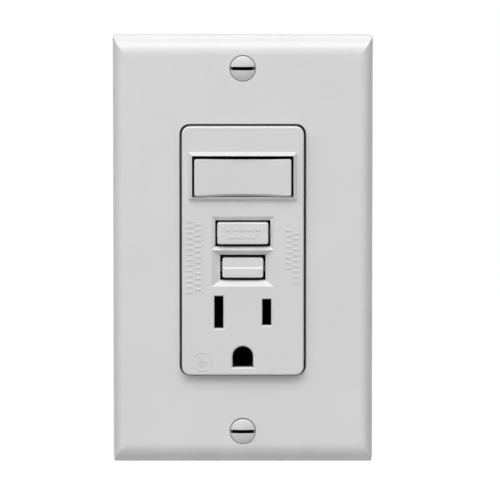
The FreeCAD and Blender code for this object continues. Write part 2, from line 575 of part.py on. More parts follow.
# =============================== buttons ===============================
def button_cap(z, w, h, front, opening):
    """A push button: a cap with soft edges, and a tab each side that stops behind the cover."""
    cap = rounded_block(w, h, 0.6, front, BUTTON_BACK, cz=z)
    cap = cap.makeFillet(BUTTON_EDGE_R, edges_in(cap, y=(front - 0.01, front + 0.01)))
    reach, half = opening[1] + BUTTON_TAB_REACH, BUTTON_TAB_HALF
    return fused([cap, box(-reach, reach, BUTTON_FLANGE_Y, BUTTON_BACK, z - half, z + half)])


def reset_button():
    front = FACE_Y - RESET_PROUD
    body = button_cap(RESET_Z, RESET_W, RESET_H, front, RESET_OPENING)
    grips = []
    for row, count in ((1, 5), (-1, 4)):
        z = RESET_Z + row * GRIP_ROW
        for i in range(count):
            x = (i - (count - 1) / 2) * GRIP_PITCH
            across, along = (x - GRIP_HALF_W, x + GRIP_HALF_W), (z - GRIP_HALF_H, z + GRIP_HALF_H)
            grips.append(box(*across, front - GRIP_RISE, front + 0.2, *along))
    seat = cylinder("y", STEM_R, STEM_BASE_Y - 0.05, BUTTON_BACK - STEM_BASE_Y + MARGIN, (0, RESET_Z))
    return fused([body] + grips).cut(seat)


def reset_stem():
    head_y1 = STEM_HEAD_Y + 0.8
    rod = cylinder("y", STEM_R, STEM_BASE_Y, head_y1 - STEM_BASE_Y, (0, RESET_Z))
    head = cylinder("y", STEM_HEAD_R, STEM_HEAD_Y, head_y1 - STEM_HEAD_Y, (0, RESET_Z))
    nose = cone_y(STEM_HEAD_R, head_y1, STEM_HEAD_R - 0.8, head_y1 + 0.8, 0, RESET_Z)
    return fused([rod, head, nose])


def test_button():
    """The lower half of its face stands a step prouder than the upper, with a sloped shoulder between."""
    front = FACE_Y - TEST_PROUD
    body = button_cap(TEST_Z, TEST_W, TEST_H, front, TEST_OPENING)
    foot_z = TEST_Z - 0.25
    slope = TEST_SHOULDER / TEST_STEP
    upper = [
        (front - MARGIN, foot_z - MARGIN * slope),
        (front + TEST_STEP, foot_z + TEST_SHOULDER),
        (front + TEST_STEP, TEST_Z + TEST_H),
        (front - MARGIN, TEST_Z + TEST_H),
    ]
    body = body.cut(prism("x", upper, -TEST_W, TEST_W))
    pin = round_nosed_pin(TEST_PIN_R, BUTTON_FLANGE_Y, TEST_PIN_TIP, 0, TEST_Z)
    return fused([body, pin])


def test_blade():
    """A thin bronze leaf that the test button bends onto its contact, pinned at its +X end."""
    y0, y1 = TEST_BLADE_Y, TEST_BLADE_Y + TEST_BLADE_T
    leaf = box(-2.4, TEST_ANCHOR_X + 1.0, y0, y1, TEST_Z - 1.3, TEST_Z + 1.3)
    return cut_all(leaf, holes_y(0.65, y0 - MARGIN, y1 + MARGIN, [(TEST_ANCHOR_X, TEST_Z)]))


# =============================== strap and ground ===============================
def ear(sign):
    """One end of the strap: a neck with the box-screw slot, then a wide ear tapped for the plate screw."""
    through = (-STRAP_T - MARGIN, MARGIN)
    half = STRAP_HALF_W + 0.6
    neck = box(-half, half, -STRAP_T, 0, 37.5, EAR_Z0 + 0.2)
    tab = rounded_block(2 * EAR_HALF_W, EAR_Z1 - EAR_Z0, 2.2, -STRAP_T, 0, cz=(EAR_Z0 + EAR_Z1) / 2)
    collar = cylinder("y", EAR_COLLAR_R, 0, EAR_COLLAR_T, (0, PLATE_SCREW_Z))
    slot = holes_y(BOX_SLOT_R, *through, [(x, BOX_SCREW_Z) for x in (BOX_SLOT_HALF, -BOX_SLOT_HALF)])
    slot_z = (BOX_SCREW_Z - BOX_SLOT_R, BOX_SCREW_Z + BOX_SLOT_R)
    slot.append(box(-BOX_SLOT_HALF, BOX_SLOT_HALF, *through, *slot_z))
    tapped = cylinder("y", HOLE_R, -STRAP_T - MARGIN, STRAP_T + 4, (0, PLATE_SCREW_Z))
    notches = [box(x - 0.6, x + 0.6, *through, EAR_Z0 - MARGIN, EAR_Z0 + 2.2) for x in (12.5, -12.5)]
    holes = holes_y(1.3, *through, [(x, EAR_Z0 + 3.6) for x in (16.8, -16.8)])
    shape = cut_all(fused([neck, tab, collar]), slot + [tapped] + notches + holes)
    return shape if sign > 0 else shape.mirror(ORIGIN, V(0, 0, 1))


def mounting_strap():
    plate = box(-STRAP_HALF_W, STRAP_HALF_W, -STRAP_T, 0, -37.6, 37.6)
    tab_z0, tab_z1 = GROUND_SCREW_Z - GROUND_TAB_HALF, GROUND_SCREW_Z + GROUND_TAB_HALF
    tab = box(GROUND_TAB_X0, GROUND_TAB_X0 + STRAP_T, -STRAP_T, GROUND_TAB_DEPTH, tab_z0, tab_z1)
    tab = tab.makeFillet(1.5, [e for e in tab.Edges if e.Length < STRAP_T + 0.01 and e.BoundBox.YMin > 0])
    body = fused([plate, ear(1), ear(-1), tab])
    through, screw_at = (-STRAP_T - MARGIN, MARGIN), (GROUND_SCREW_Y, GROUND_SCREW_Z)
    windows = [
        box(-12.4, 12.4, *through, 12.8, 26.2),
        box(-8.6, 8.6, *through, -9.2, 9.4),
        box(-9.9, 9.9, *through, -22.6, -10.9),
        cylinder("y", 3.3, through[0], through[1] - through[0], (0, GROUND_Z)),
        cylinder("x", HOLE_R, GROUND_TAB_X0 - MARGIN, STRAP_T + 2 * MARGIN, screw_at),
    ]
    return cut_all(body, windows + holes_y(RIVET_R + 0.05, *through, [(x, GROUND_Z) for x in RIVET_XS]))


def ground_contact():
    """A folded bronze clip behind the ground slot, with two leaves that grip the pin."""
    y0, t = 0.05, 0.6
    base = box(-7.2, 7.2, y0, y0 + t, GROUND_Z - 3.3, GROUND_Z + 3.3)
    holes = holes_y(3.2, y0 - MARGIN, y0 + t + MARGIN, [(0, GROUND_Z)])
    holes += holes_y(RIVET_R + 0.05, y0 - MARGIN, y0 + t + MARGIN, [(x, GROUND_Z) for x in RIVET_XS])
    root, knee, pinch, lip = 3.0, (2.9, 3.0), 8.2, (11.0, 11.1)
    leaf = [
        (root, y0 + 0.2), (root + t, y0 + 0.2), (root + t, knee[1]), (root - 0.25, pinch),
        (root + 0.3, lip[0]), (root - 0.3, lip[1]), (root - 0.85, pinch), (root, knee[0]),
    ]
    leaves = both_sides(prism("z", leaf, GROUND_Z - 2.2, GROUND_Z + 2.2))
    return fused([cut_all(base, holes)] + leaves)


def ground_rivet(x):
    shank = cylinder("y", RIVET_R, -STRAP_T - 0.3, STRAP_T + 1.6, (x, GROUND_Z))
    front_head = cylinder("y", 1.7, -STRAP_T - 0.5, 0.45, (x, GROUND_Z))
    back_head = cylinder("y", 1.6, 0.7, 0.7, (x, GROUND_Z))
    return fused([shank, front_head, back_head])


# =============================== terminals and contacts ===============================
def terminal_plate(z):
    """The plate that a terminal screw clamps to, flat on the well's inner wall, on the +X side."""
    plate = box(BUS_X0, BUS_X1, WELL_Y0 + 0.2, WELL_Y1 - 0.3, z - 4.5, z + 4.5)
    return plate.cut(cylinder("x", HOLE_R, BUS_X0 - MARGIN, BUS_T + 2 * MARGIN, (TERMINAL_Y, z)))


def riser(z, half_z=3.4):
    """The part of a bus that turns back through the well's front wall and meets its terminal plate."""
    return box(BUS_X0, BUS_X1, BUS_Y0, WELL_Y0 + 0.3, z - half_z, z + half_z)


def bus_bar(x0, x1, z0, z1):
    return box(x0, x1, BUS_Y0, BUS_Y0 + BUS_T, z0, z1)


def blade_grip(x, height):
    """Two sprung leaves either side of a plug blade, rising to the front from the bus."""
    y = BUS_Y0 + 0.2
    inner = [(1.5, y), (1.5, -0.6), (0.78, -2.6), (1.55, -4.9)]
    leaf = inner + [(2.0, -4.7), (1.3, -2.6), (2.0, -0.5), (2.0, y)]
    z0, z1 = BLADE_Z - height / 2, BLADE_Z + height / 2
    return [prism("z", [(x + side * a, b) for a, b in leaf], z0, z1) for side in (1, -1)]


def load_bus(test_finger):
    """One side of the protected circuit, drawn on the +X side: the receptacle's grip, the rail to the fixed
    contact and the terminal that feeds outlets further on."""
    x, terminal_z = BLADE_SPACING / 2, TERMINAL_ZS[2]
    pieces = [
        bus_bar(x - 3.0, BUS_X1, BLADE_Z - 5.2, BLADE_Z + 5.0),
        bus_bar(10.4, 12.6, BLADE_Z, PAD_Z + 1.6),
        bus_bar(5.2, 12.6, PAD_Z - 1.6, PAD_Z + 1.6),
        bus_bar(11.0, BUS_X1, terminal_z - 3.4, terminal_z + 3.4),
        riser(terminal_z),
        terminal_plate(terminal_z),
    ] + blade_grip(x, GRIP_HEIGHT)
    if test_finger:
        pieces.append(bus_bar(1.2, 10.6, TEST_Z - 1.1, TEST_Z + 1.1))
    passage = box(x - 1.5, x + 1.5, BUS_Y0 - 0.2, BUS_Y0 + BUS_T + MARGIN, BLADE_Z - 4.2, BLADE_Z + 4.2)
    return fused(pieces).cut(passage)


def fixed_pad(x, z):
    return cylinder("y", PAD_R, BUS_Y0 + BUS_T, PAD_T, (x, z))


def contact_arm():
    """A sprung arm on the +X side that carries the moving contact, held at its lower end."""
    x0, x1 = ARM_X - ARM_HALF_W, ARM_X + ARM_HALF_W
    arm = box(x0, x1, ARM_Y0, ARM_Y0 + ARM_T, ARM_PIVOT_Z, ARM_END_Z)
    return arm.cut(box(ARM_X - 0.5, ARM_X + 0.5, ARM_Y0 - MARGIN, ARM_Y0 + ARM_T + MARGIN, -6.5, 2.0))


def arm_pad():
    return cylinder("y", PAD_R, ARM_Y0 - 0.55, 0.55, (ARM_X, PAD_Z))


def line_conductor():
    """Carries the line from the board through the sensor's ring to the root of the contact arm, +X side."""
    t, front, low = 0.6, 11.2, -11.0
    x0, x1, post_x0, post_x1 = ARM_X - ARM_HALF_W, ARM_X + ARM_HALF_W, 0.9, 2.0
    root = box(x0, x1, ARM_Y0, ARM_Y0 + t, low, ARM_PIVOT_Z - 0.1)
    drop = box(x0, x1, ARM_Y0, front + t, low, low + t)
    path = [(x1, low), (x1, low + t), (x0, low + t)]
    path += [(post_x0, -16.6), (post_x0, -18.3), (post_x1 + 0.3, -18.3)]
    cross = prism("y", path, front, front + t)
    post = box(post_x0, post_x1, front, BOARD_Y0 - 0.05, -18.3, -16.7)
    return fused([root, drop, cross, post])


def line_terminal():
    """The incoming terminal, +X side: its plate and a tail that turns in to the board."""
    z = TERMINAL_ZS[1]
    tail = box(BUS_X0, BUS_X1, WELL_Y1 - 0.4, BOARD_Y0 - 0.1, z - TAIL_HALF_Z, z + TAIL_HALF_Z)
    foot = box(11.6, BUS_X1, BOARD_Y0 - 0.55, BOARD_Y0 - 0.05, z - TAIL_HALF_Z, z + TAIL_HALF_Z)
    return fused([terminal_plate(z), tail, foot])


def switch_terminal(z0, z1):
    """A switch terminal on the +X side: a bar at the given heights, a riser and a screw plate."""
    z = TERMINAL_ZS[0]
    bars = [bus_bar(0, BUS_X1, z0, z1), bus_bar(12.6, BUS_X1, z0, z + 3.0)]
    return fused(bars + [riser(z, 3.0), terminal_plate(z)])


def switch_common_terminal():
    """The terminal that the switch blade rocks on, with its knife edge."""
    low, high, root_y = ROCKER_Z - SWITCH_BAR_HALF_Z, ROCKER_Z + SWITCH_BAR_HALF_Z, BUS_Y0 + 0.1
    bar = bus_bar(-3.0, 1.0, low, high)
    edge = [(BLADE_PIVOT_Y + 0.06, ROCKER_Z), (root_y, ROCKER_Z - 1.2), (root_y, ROCKER_Z + 1.2)]
    return fused([switch_terminal(low, high), bar, prism("x", edge, -3.0, 3.0)])


def switch_contact_terminal():
    """The terminal with the switch's fixed contact, on the -X side."""
    low = ROCKER_Z - SWITCH_PAD_DROP - 1.5
    return fused([mirrored_x(switch_terminal(low, low + 3.0)), bus_bar(-1.0, 2.0, low, low + 3.0)])


def at_blade_rest(shape):
    return turned(shape, V(0, BLADE_PIVOT_Y, ROCKER_Z), "x", BLADE_TILT)


def switch_blade():
    y0, y1 = BLADE_PIVOT_Y - BLADE_T, BLADE_PIVOT_Y
    return at_blade_rest(box(-2.6, 2.6, y0, y1, ROCKER_Z - 6.0, ROCKER_Z + 4.6))


def switch_blade_pad():
    return at_blade_rest(cylinder("y", SWITCH_PAD_R, BLADE_PIVOT_Y, 0.6, (0, ROCKER_Z - SWITCH_PAD_DROP)))


def switch_fixed_pad():
    return cylinder("y", SWITCH_PAD_R, BUS_Y0 - 0.3, 0.3, (0, ROCKER_Z - SWITCH_PAD_DROP))


# =============================== carrier ===============================
def rocker_post():
    """A post on the +X side that the rocker's pin snaps into: a round seat with a narrower mouth."""
    front = ROCKER_PIVOT_Y - POST_GRIP
    post = box(POST_X0, POST_X1, front, DECK_Y0 + 0.7, ROCKER_Z - POST_HALF_Z, ROCKER_Z + POST_HALF_Z)
    foot = box(POST_X0, 13.0, DECK_Y0, DECK_Y1, ROCKER_Z - 2.0, ROCKER_Z + 2.0)
    seat = cylinder("x", PIN_R + POST_PLAY, POST_X0 - MARGIN, POST_X1, (ROCKER_PIVOT_Y, ROCKER_Z))
    return fused([post.cut(seat), foot])


def test_blade_anchor():
    """The pad and pin that hold the root of the test blade."""
    x, half, root_y = TEST_ANCHOR_X, 0.8, DECK_Y1 - 0.2
    pad = box(x - half, x + half, root_y, TEST_BLADE_Y - 0.3, TEST_Z - 1.2, TEST_Z + 1.2)
    return fused([pad, cylinder("y", 0.45, root_y, 1.6, (x, TEST_Z))])


def contact_carrier():
    """The moulded deck that holds the contacts, with a tower behind the slots and posts for the rocker."""
    deck = rounded_block(CAVITY_W - 0.5, CAVITY_H - 0.5, DECK_CORNER_R, DECK_Y0, DECK_Y1)
    tower = box(-9.5, 9.5, -5.3, CARRIER_BACK, -22.2, -11.3)
    switch_wall = box(-13.0, 13.0, DECK_Y0, CARRIER_BACK, 11.7, 27.0)
    bridge = box(-5.0, 5.0, 1.0, 3.4, RESET_Z - 3.4, RESET_Z + 3.4)
    through = (-MARGIN, CARRIER_BACK + MARGIN)
    tools = [box(-12.2, 12.2, *through, 12.5, 26.2)]
    tools.append(box(-7.6, 7.6, *through, GROUND_Z - 3.9, GROUND_Z + 3.9))
    tools += holes_y(STEM_R + 0.35, *through, [(0, RESET_Z)])
    tools += holes_y(2.9, -MARGIN, 1.5, [(0, RESET_Z)])
    tools += holes_y(TEST_PIN_R + 0.35, *through, [(0, TEST_Z)])
    tools += holes_y(BOSS_R + 0.25, *through, BOSS_CORNERS)
    for x, height in ((-BLADE_SPACING / 2, NEUTRAL_SLOT_H), (BLADE_SPACING / 2, HOT_SLOT_H)):
        half = height / 2 + SLOT_LIFT
        tools.append(box(x - 2.3, x + 2.3, -5.05, through[1], BLADE_Z - 3.4, BLADE_Z + 3.4))
        tools.append(box(x - 1.35, x + 1.35, -6, through[1], BLADE_Z - half, BLADE_Z + half))
    body = thinned(fused([deck, tower, switch_wall, bridge]), tools)
    return fused([body, test_blade_anchor()] + both_sides(rocker_post()))


# =============================== trip mechanism ===============================
def latch_block():
    rail_z = (LATCH_Z0 + 2.0, LATCH_Z1 - 1.5)
    core = box(-LATCH_HALF_W, LATCH_HALF_W, LATCH_Y0, LATCH_Y1, LATCH_Z0, LATCH_Z1)
    wings = both_sides(box(LATCH_HALF_W - 0.2, 9.4, LATCH_Y0, LATCH_Y0 + 3.0, 2.6, 6.0))
    rails = both_sides(box(5.2, 6.0, LATCH_Y0 + 2.5, 14.0, *rail_z))
    lips = both_sides(box(4.3, 6.0, 13.35, 14.0, *rail_z))
    bore = cylinder("y", STEM_HEAD_R + 0.3, LATCH_Y0 - MARGIN, LATCH_Y1 + 2, (0, RESET_Z))
    return fused([core] + wings + rails + lips).cut(bore)


def latch_plate():
    """The keyhole plate: its throat holds the stem's head, and lifting it brings the round hole in line."""
    y0, t, throat_r = LATCH_Y1 + 0.1, 0.8, STEM_R + 0.2
    through = (y0 - MARGIN, y0 + t + MARGIN)
    flat = box(-5.0, 5.0, y0, y0 + t, -0.4, LEG_Z1)
    leg = box(-2.2, 2.2, y0, LEG_BACK, LEG_Z0, LEG_Z1)
    keyhole = holes_y(STEM_HEAD_R + 0.25, *through, [(0, RESET_Z - LATCH_LIFT)])
    keyhole += holes_y(throat_r, *through, [(0, RESET_Z)])
    keyhole.append(box(-throat_r, throat_r, *through, RESET_Z - LATCH_LIFT, RESET_Z))
    fork = box(-0.9, 0.9, 14.8, LEG_BACK + MARGIN, LEG_Z0 - MARGIN, LEG_Z1 + MARGIN)
    return cut_all(fused([flat, leg]), keyhole + [fork])


def solenoid_bobbin():
    y0, y1, length = COIL_Y - COIL_HALF, COIL_Y + COIL_HALF, COIL_Z1 - COIL_Z0
    flanges = [box(-4.85, 4.85, y0, y1, z, z + 1.0) for z in (COIL_Z0, COIL_Z1 - 1.0)]
    return fused(flanges + [cylinder("z", 2.6, COIL_Z0, length, (0, COIL_Y))]).cut(
        cylinder("z", 2.1, COIL_Z0 - MARGIN, length + 2 * MARGIN, (0, COIL_Y)))


def solenoid_coil():
    return tube("z", 4.5, 2.65, COIL_Z0 + 1.05, COIL_Z1 - COIL_Z0 - 2.1, (0, COIL_Y))


def solenoid_frame():
    y0, y1, t = COIL_Y - COIL_HALF, COIL_Y + COIL_HALF, 0.9
    z0, z1 = COIL_Z0 - 0.1 - t, COIL_Z1 + 0.1 + t
    side = box(4.95, 4.95 + t, y0, y1, z0, z1)
    ends = [box(-4.85, 4.95 + t, y0, y1, z, z + t) for z in (z0, z1 - t)]
    return fused([side] + ends).cut(cylinder("z", 2.25, z0 - MARGIN, t + 2 * MARGIN, (0, COIL_Y)))


def solenoid_plunger():
    """An iron core with a grooved nose that the latch plate's fork hangs on."""
    core = cylinder("z", 1.95, 10.0, 14.0, (0, COIL_Y))
    neck = cylinder("z", 0.75, LEG_Z0 - 0.5, 1.6, (0, COIL_Y))
    head = cylinder("z", 1.4, LEG_Z0 - 1.1, 0.9, (0, COIL_Y))
    return fused([core, neck, head])


def sensor_housing():
    z0, z1 = SENSOR_Z - SENSOR_HALF, SENSOR_Z + SENSOR_HALF
    cup = box(-SENSOR_HALF, SENSOR_HALF, 12.4, 22.2, z0, z1)
    ring_room = tube("y", 7.3, 3.1, 13.2, 8.4, (0, SENSOR_Z))
    return cup.cut(Part.makeCompound([ring_room, cylinder("y", 2.5, 11, 13, (0, SENSOR_Z))]))


def sensor_ring(y0):
    """A toroidal core with its winding, as one ring with bulged faces."""
    ring = tube("y", 7.1, 3.3, y0, 3.7, (0, SENSOR_Z))
    return ring.makeFillet(0.9, round_edges(ring))


def circuit_board():
    board = rounded_block(27.0, 62.0, 1.0, BOARD_Y0, BOARD_Y0 + BOARD_T)
    return cut_all(board, holes_y(1.6, BOARD_Y0 - MARGIN, BOARD_Y0 + BOARD_T + MARGIN, BOARD_HOLES))


def control_chip():
    outline = [(-9.6, 18.9), (-3.6, 18.9), (-3.4, 20.4), (-3.6, 21.9), (-9.6, 21.9), (-9.8, 20.4)]
    legs = []
    for x in (-10.2, -3.5):
        for i in range(4):
            z = -5.6 + i * 2.4
            legs.append(box(x, x + 0.5, 20.2, LEAD_END_Y, z - 0.25, z + 0.25))
    return fused([prism("z", outline, -6.6, 2.6)] + legs)


def thyristor():
    body = cylinder("y", 2.35, 16.4, 4.8, (6.0, -4.6)).cut(box(3, 9, 16, 22, -4.0, 0))
    legs = [box(x - LEAD_HALF, x + LEAD_HALF, 21.0, LEAD_END_Y, -5.3, -4.9) for x in (4.8, 6.0, 7.2)]
    return fused([body] + legs)


def board_resistor(x, z):
    y = 20.9
    body = cylinder("z", 1.05, z - 3.0, 6.0, (x, y))
    caps = [cylinder("z", 1.2, z + s, 1.1, (x, y)) for s in (-3.1, 2.0)]
    wire = cylinder("z", LEAD_HALF, z - 3.8, 7.6, (x, y))
    leads = []
    for end in (z - 3.6, z + 3.6):
        along = (end - LEAD_HALF, end + LEAD_HALF)
        leads.append(box(x - LEAD_HALF, x + LEAD_HALF, y - 0.2, LEAD_END_Y, *along))
    return fused([body, wire] + caps + leads)


def film_capacitor():
    return rounded_block(3.0, 7.0, 0.5, 16.4, BOARD_Y0 - 0.05, cx=9.2, cz=4.0)


def electrolytic_capacitor():
    return cylinder("z", 2.3, -30.7, 4.9, (9.0, 20.2))


def varistor():
    disc = cylinder("z", 4.6, 29.3, 3.4, (0, 17.4))
    disc = disc.makeFillet(1.2, round_edges(disc))
    legs = [box(x - 0.3, x + 0.3, 20.0, LEAD_END_Y, 30.2, 30.8) for x in (2.4, -2.4)]
    return fused([disc] + legs)


# =============================== rear housing ===============================
def well_block(z):
    """Material around one terminal well and its two wire tunnels, on the +X side."""
    side, reach = FLANGE_W / 2 - 0.5, WELL_HALF_Z + WELL_WALL
    wall = box(WELL_X0 - WELL_WALL, side, WELL_Y0 - WELL_WALL, WELL_Y1 + WELL_WALL, z - reach, z + reach)
    tunnel = box(13.8, side, WELL_Y1, BODY_DEPTH - 0.5, z - 5.0, z + 5.0)
    return fused([wall, tunnel])


def well_tools(z, front_slot, back_slot):
    tools = [box(WELL_X0, FLANGE_W / 2 + MARGIN, WELL_Y0, WELL_Y1, z - WELL_HALF_Z, z + WELL_HALF_Z)]
    tools.append(cylinder("x", HOLE_R + 0.4, 12, 4, (TERMINAL_Y, z)))
    for dz in (-WIRE_HALF_Z, WIRE_HALF_Z):
        tools.append(cylinder("y", WIRE_R, WELL_Y1 - MARGIN, BODY_DEPTH, (WIRE_X, z + dz)))
        tools.append(cone_y(WIRE_R, BODY_DEPTH - 0.9, WIRE_R + 0.9, BODY_DEPTH, WIRE_X, z + dz))
    slot_x0, slot_x1 = BUS_X0 - 0.15, BUS_X1 + 0.15
    if front_slot:
        tools.append(box(slot_x0, slot_x1, WELL_Y0 - WELL_WALL - MARGIN, WELL_Y0 + MARGIN, z - 3.7, z + 3.7))
    if back_slot:
        reach = TAIL_HALF_Z + 0.25
        tools.append(box(11.4, slot_x1, WELL_Y1 - MARGIN, BOARD_Y0 + 0.1, z - reach, z + reach))
    return tools


def rear_housing():
    outer = rounded_block(FLANGE_W, FLANGE_H, FLANGE_R, -STRAP_T, BODY_DEPTH)
    outer = outer.makeFillet(1.0, edges_in(outer, y=(BODY_DEPTH - 0.01, BODY_DEPTH + 0.01)))
    body = outer.cut(rounded_block(CAVITY_W, CAVITY_H, 1.2, -STRAP_T - MARGIN, BODY_DEPTH - BACK_T))
    columns = holes_y(3.2, BOSS_END_Y + 0.1, BODY_DEPTH - BACK_T + 0.1, BOSS_CORNERS)
    blocks = [s for z in TERMINAL_ZS for s in both_sides(well_block(z))]
    standoffs = holes_y(2.2, BOARD_Y0 + BOARD_T + 0.05, BODY_DEPTH - BACK_T + 0.85, BOARD_HOLES)
    tools = []
    for i, z in enumerate(TERMINAL_ZS):
        for tool in well_tools(z, front_slot=i != 1, back_slot=i == 1):
            tools += both_sides(tool)
    tools += holes_y(1.8, BOSS_END_Y - MARGIN, BODY_DEPTH + MARGIN, BOSS_CORNERS)
    tools += holes_y(3.1, BODY_DEPTH - 1.9, BODY_DEPTH + MARGIN, BOSS_CORNERS)
    for sign in (1, -1):
        z0, z1 = sorted((sign * 33, sign * 36))
        tools.append(box(-STRAP_HALF_W - 0.15, STRAP_HALF_W + 0.15, -STRAP_T - MARGIN, 0, z0, z1))
    past = BODY_DEPTH + MARGIN
    tools.append(rounded_block(LABEL_W + 0.5, LABEL_H + 0.5, 1.2, BODY_DEPTH - 0.35, past, cz=LABEL_Z))
    tools.append(rounded_block(3.0, 14.0, 0.6, BODY_DEPTH - 0.5, past, cz=-22))
    return thinned(fused([body] + columns + blocks + standoffs), tools)


def rating_label():
    return rounded_block(LABEL_W, LABEL_H, 1.0, BODY_DEPTH - 0.33, BODY_DEPTH - 0.13, cz=LABEL_Z)


# =============================== fasteners ===============================
def cross_recess(r, depth, y, x, z):
    """A cruciform driver recess opening towards +Y at y."""
    half = 0.35
    across = box(x - r, x + r, y - depth, y + MARGIN, z - half, z + half)
    return fused([across, box(x - half, x + half, y - depth, y + MARGIN, z - r, z + r)])


def assembly_screw(x, z):
    top = BODY_DEPTH - 0.25
    head = cylinder("y", ASSEMBLY_HEAD_R, top - ASSEMBLY_HEAD_T, ASSEMBLY_HEAD_T, (x, z))
    head = head.makeFillet(0.7, [e for e in round_edges(head) if e.BoundBox.YMin > top - 0.01])
    length = top - ASSEMBLY_HEAD_T - ASSEMBLY_START_Y + 0.2
    shank = cylinder("y", ASSEMBLY_SHANK_R, ASSEMBLY_START_Y, length, (x, z))
    return fused([head, shank]).cut(cross_recess(1.5, 0.9, top, x, z))


def terminal_screw(z):
    """A combination-head terminal screw on the +X side, backed off so that a wire can go in."""
    top, slot_half, tip_x = TERMINAL_HEAD_X + TERMINAL_HEAD_T, 0.5, 12.8
    head = cylinder("x", TERMINAL_HEAD_R, TERMINAL_HEAD_X, TERMINAL_HEAD_T, (TERMINAL_Y, z))
    head = head.makeFillet(0.5, [e for e in round_edges(head) if e.BoundBox.XMin > top - 0.01])
    shank = cylinder("x", SCREW_R, tip_x, TERMINAL_HEAD_X - tip_x + 0.1, (TERMINAL_Y, z))
    span = (top - 1.1, top + MARGIN)
    slot = box(*span, TERMINAL_Y - 4, TERMINAL_Y + 4, z - slot_half, z + slot_half)
    cross = box(*span, TERMINAL_Y - slot_half, TERMINAL_Y + slot_half, z - 1.9, z + 1.9)
    return cut_all(fused([head, shank]), [slot, cross])


def clamp_plate(z):
    x1 = TERMINAL_HEAD_X - 0.1
    plate = box(x1 - 1.0, x1, TERMINAL_Y - 4.6, TERMINAL_Y + 4.6, z - 4.4, z + 4.4)
    plate = plate.cut(cylinder("x", HOLE_R, x1 - 1.0 - MARGIN, 1.0 + 2 * MARGIN, (TERMINAL_Y, z)))
    teeth = []
    for y in (TERMINAL_Y - 3.9, TERMINAL_Y - 3.1, TERMINAL_Y + 3.1, TERMINAL_Y + 3.9):
        teeth.append(box(x1 - 1.2, x1 - 0.95, y - 0.2, y + 0.2, z - 4.0, z + 4.0))
    return fused([plate] + teeth)


def ground_screw():
    seat, y, z = GROUND_TAB_X0 - 0.2, GROUND_SCREW_Y, GROUND_SCREW_Z
    turns = [math.radians(a) for a in range(0, 360, 60)]
    hexagon = [(y + GROUND_HEAD_R * math.cos(a), z + GROUND_HEAD_R * math.sin(a)) for a in turns]
    crown = prism("x", hexagon, seat - GROUND_HEAD_T, seat - 1.0)
    disc = cylinder("x", GROUND_HEAD_R + 0.15, seat - 1.1, 1.1, (y, z))
    shank = cylinder("x", SCREW_R, seat - 0.2, 8.2, (y, z))
    slot = box(seat - GROUND_HEAD_T - MARGIN, seat - GROUND_HEAD_T + 1.1, y - 5, y + 5, z - 0.5, z + 0.5)
    return fused([crown, disc, shank]).cut(slot)


def box_screw(z):
    """A 6-32 screw with a thin neck, so that its washer holds it in the strap."""
    seat = -STRAP_T - 0.05
    head = cylinder("y", BOX_HEAD_R, seat - BOX_HEAD_T, BOX_HEAD_T, (0, z))
    head = head.makeFillet(1.1, [e for e in round_edges(head) if e.BoundBox.YMax < -STRAP_T - 1])
    neck = cylinder("y", BOX_NECK_R, seat - 0.15, BOX_THREAD_Y0 - seat + 0.25, (0, z))
    thread_end = BOX_SCREW_END - TIP_TAPER
    shank = cylinder("y", SCREW_R, BOX_THREAD_Y0, thread_end - BOX_THREAD_Y0, (0, z))
    tip = cone_y(SCREW_R, thread_end, SCREW_R - TIP_TAPER, BOX_SCREW_END, 0, z)
    slot = box(-4, 4, seat - BOX_HEAD_T - MARGIN, seat - BOX_HEAD_T + 1.0, z - 0.5, z + 0.5)
    return fused([head, neck, shank, tip]).cut(slot)


def screw_retainer(z):
    washer = rounded_block(9.0, 7.0, 1.0, RETAINER_Y0, RETAINER_Y0 + RETAINER_T, cz=z)
    return washer.cut(cylinder("y", BOX_NECK_R + 0.05, -MARGIN, 3, (0, z)))


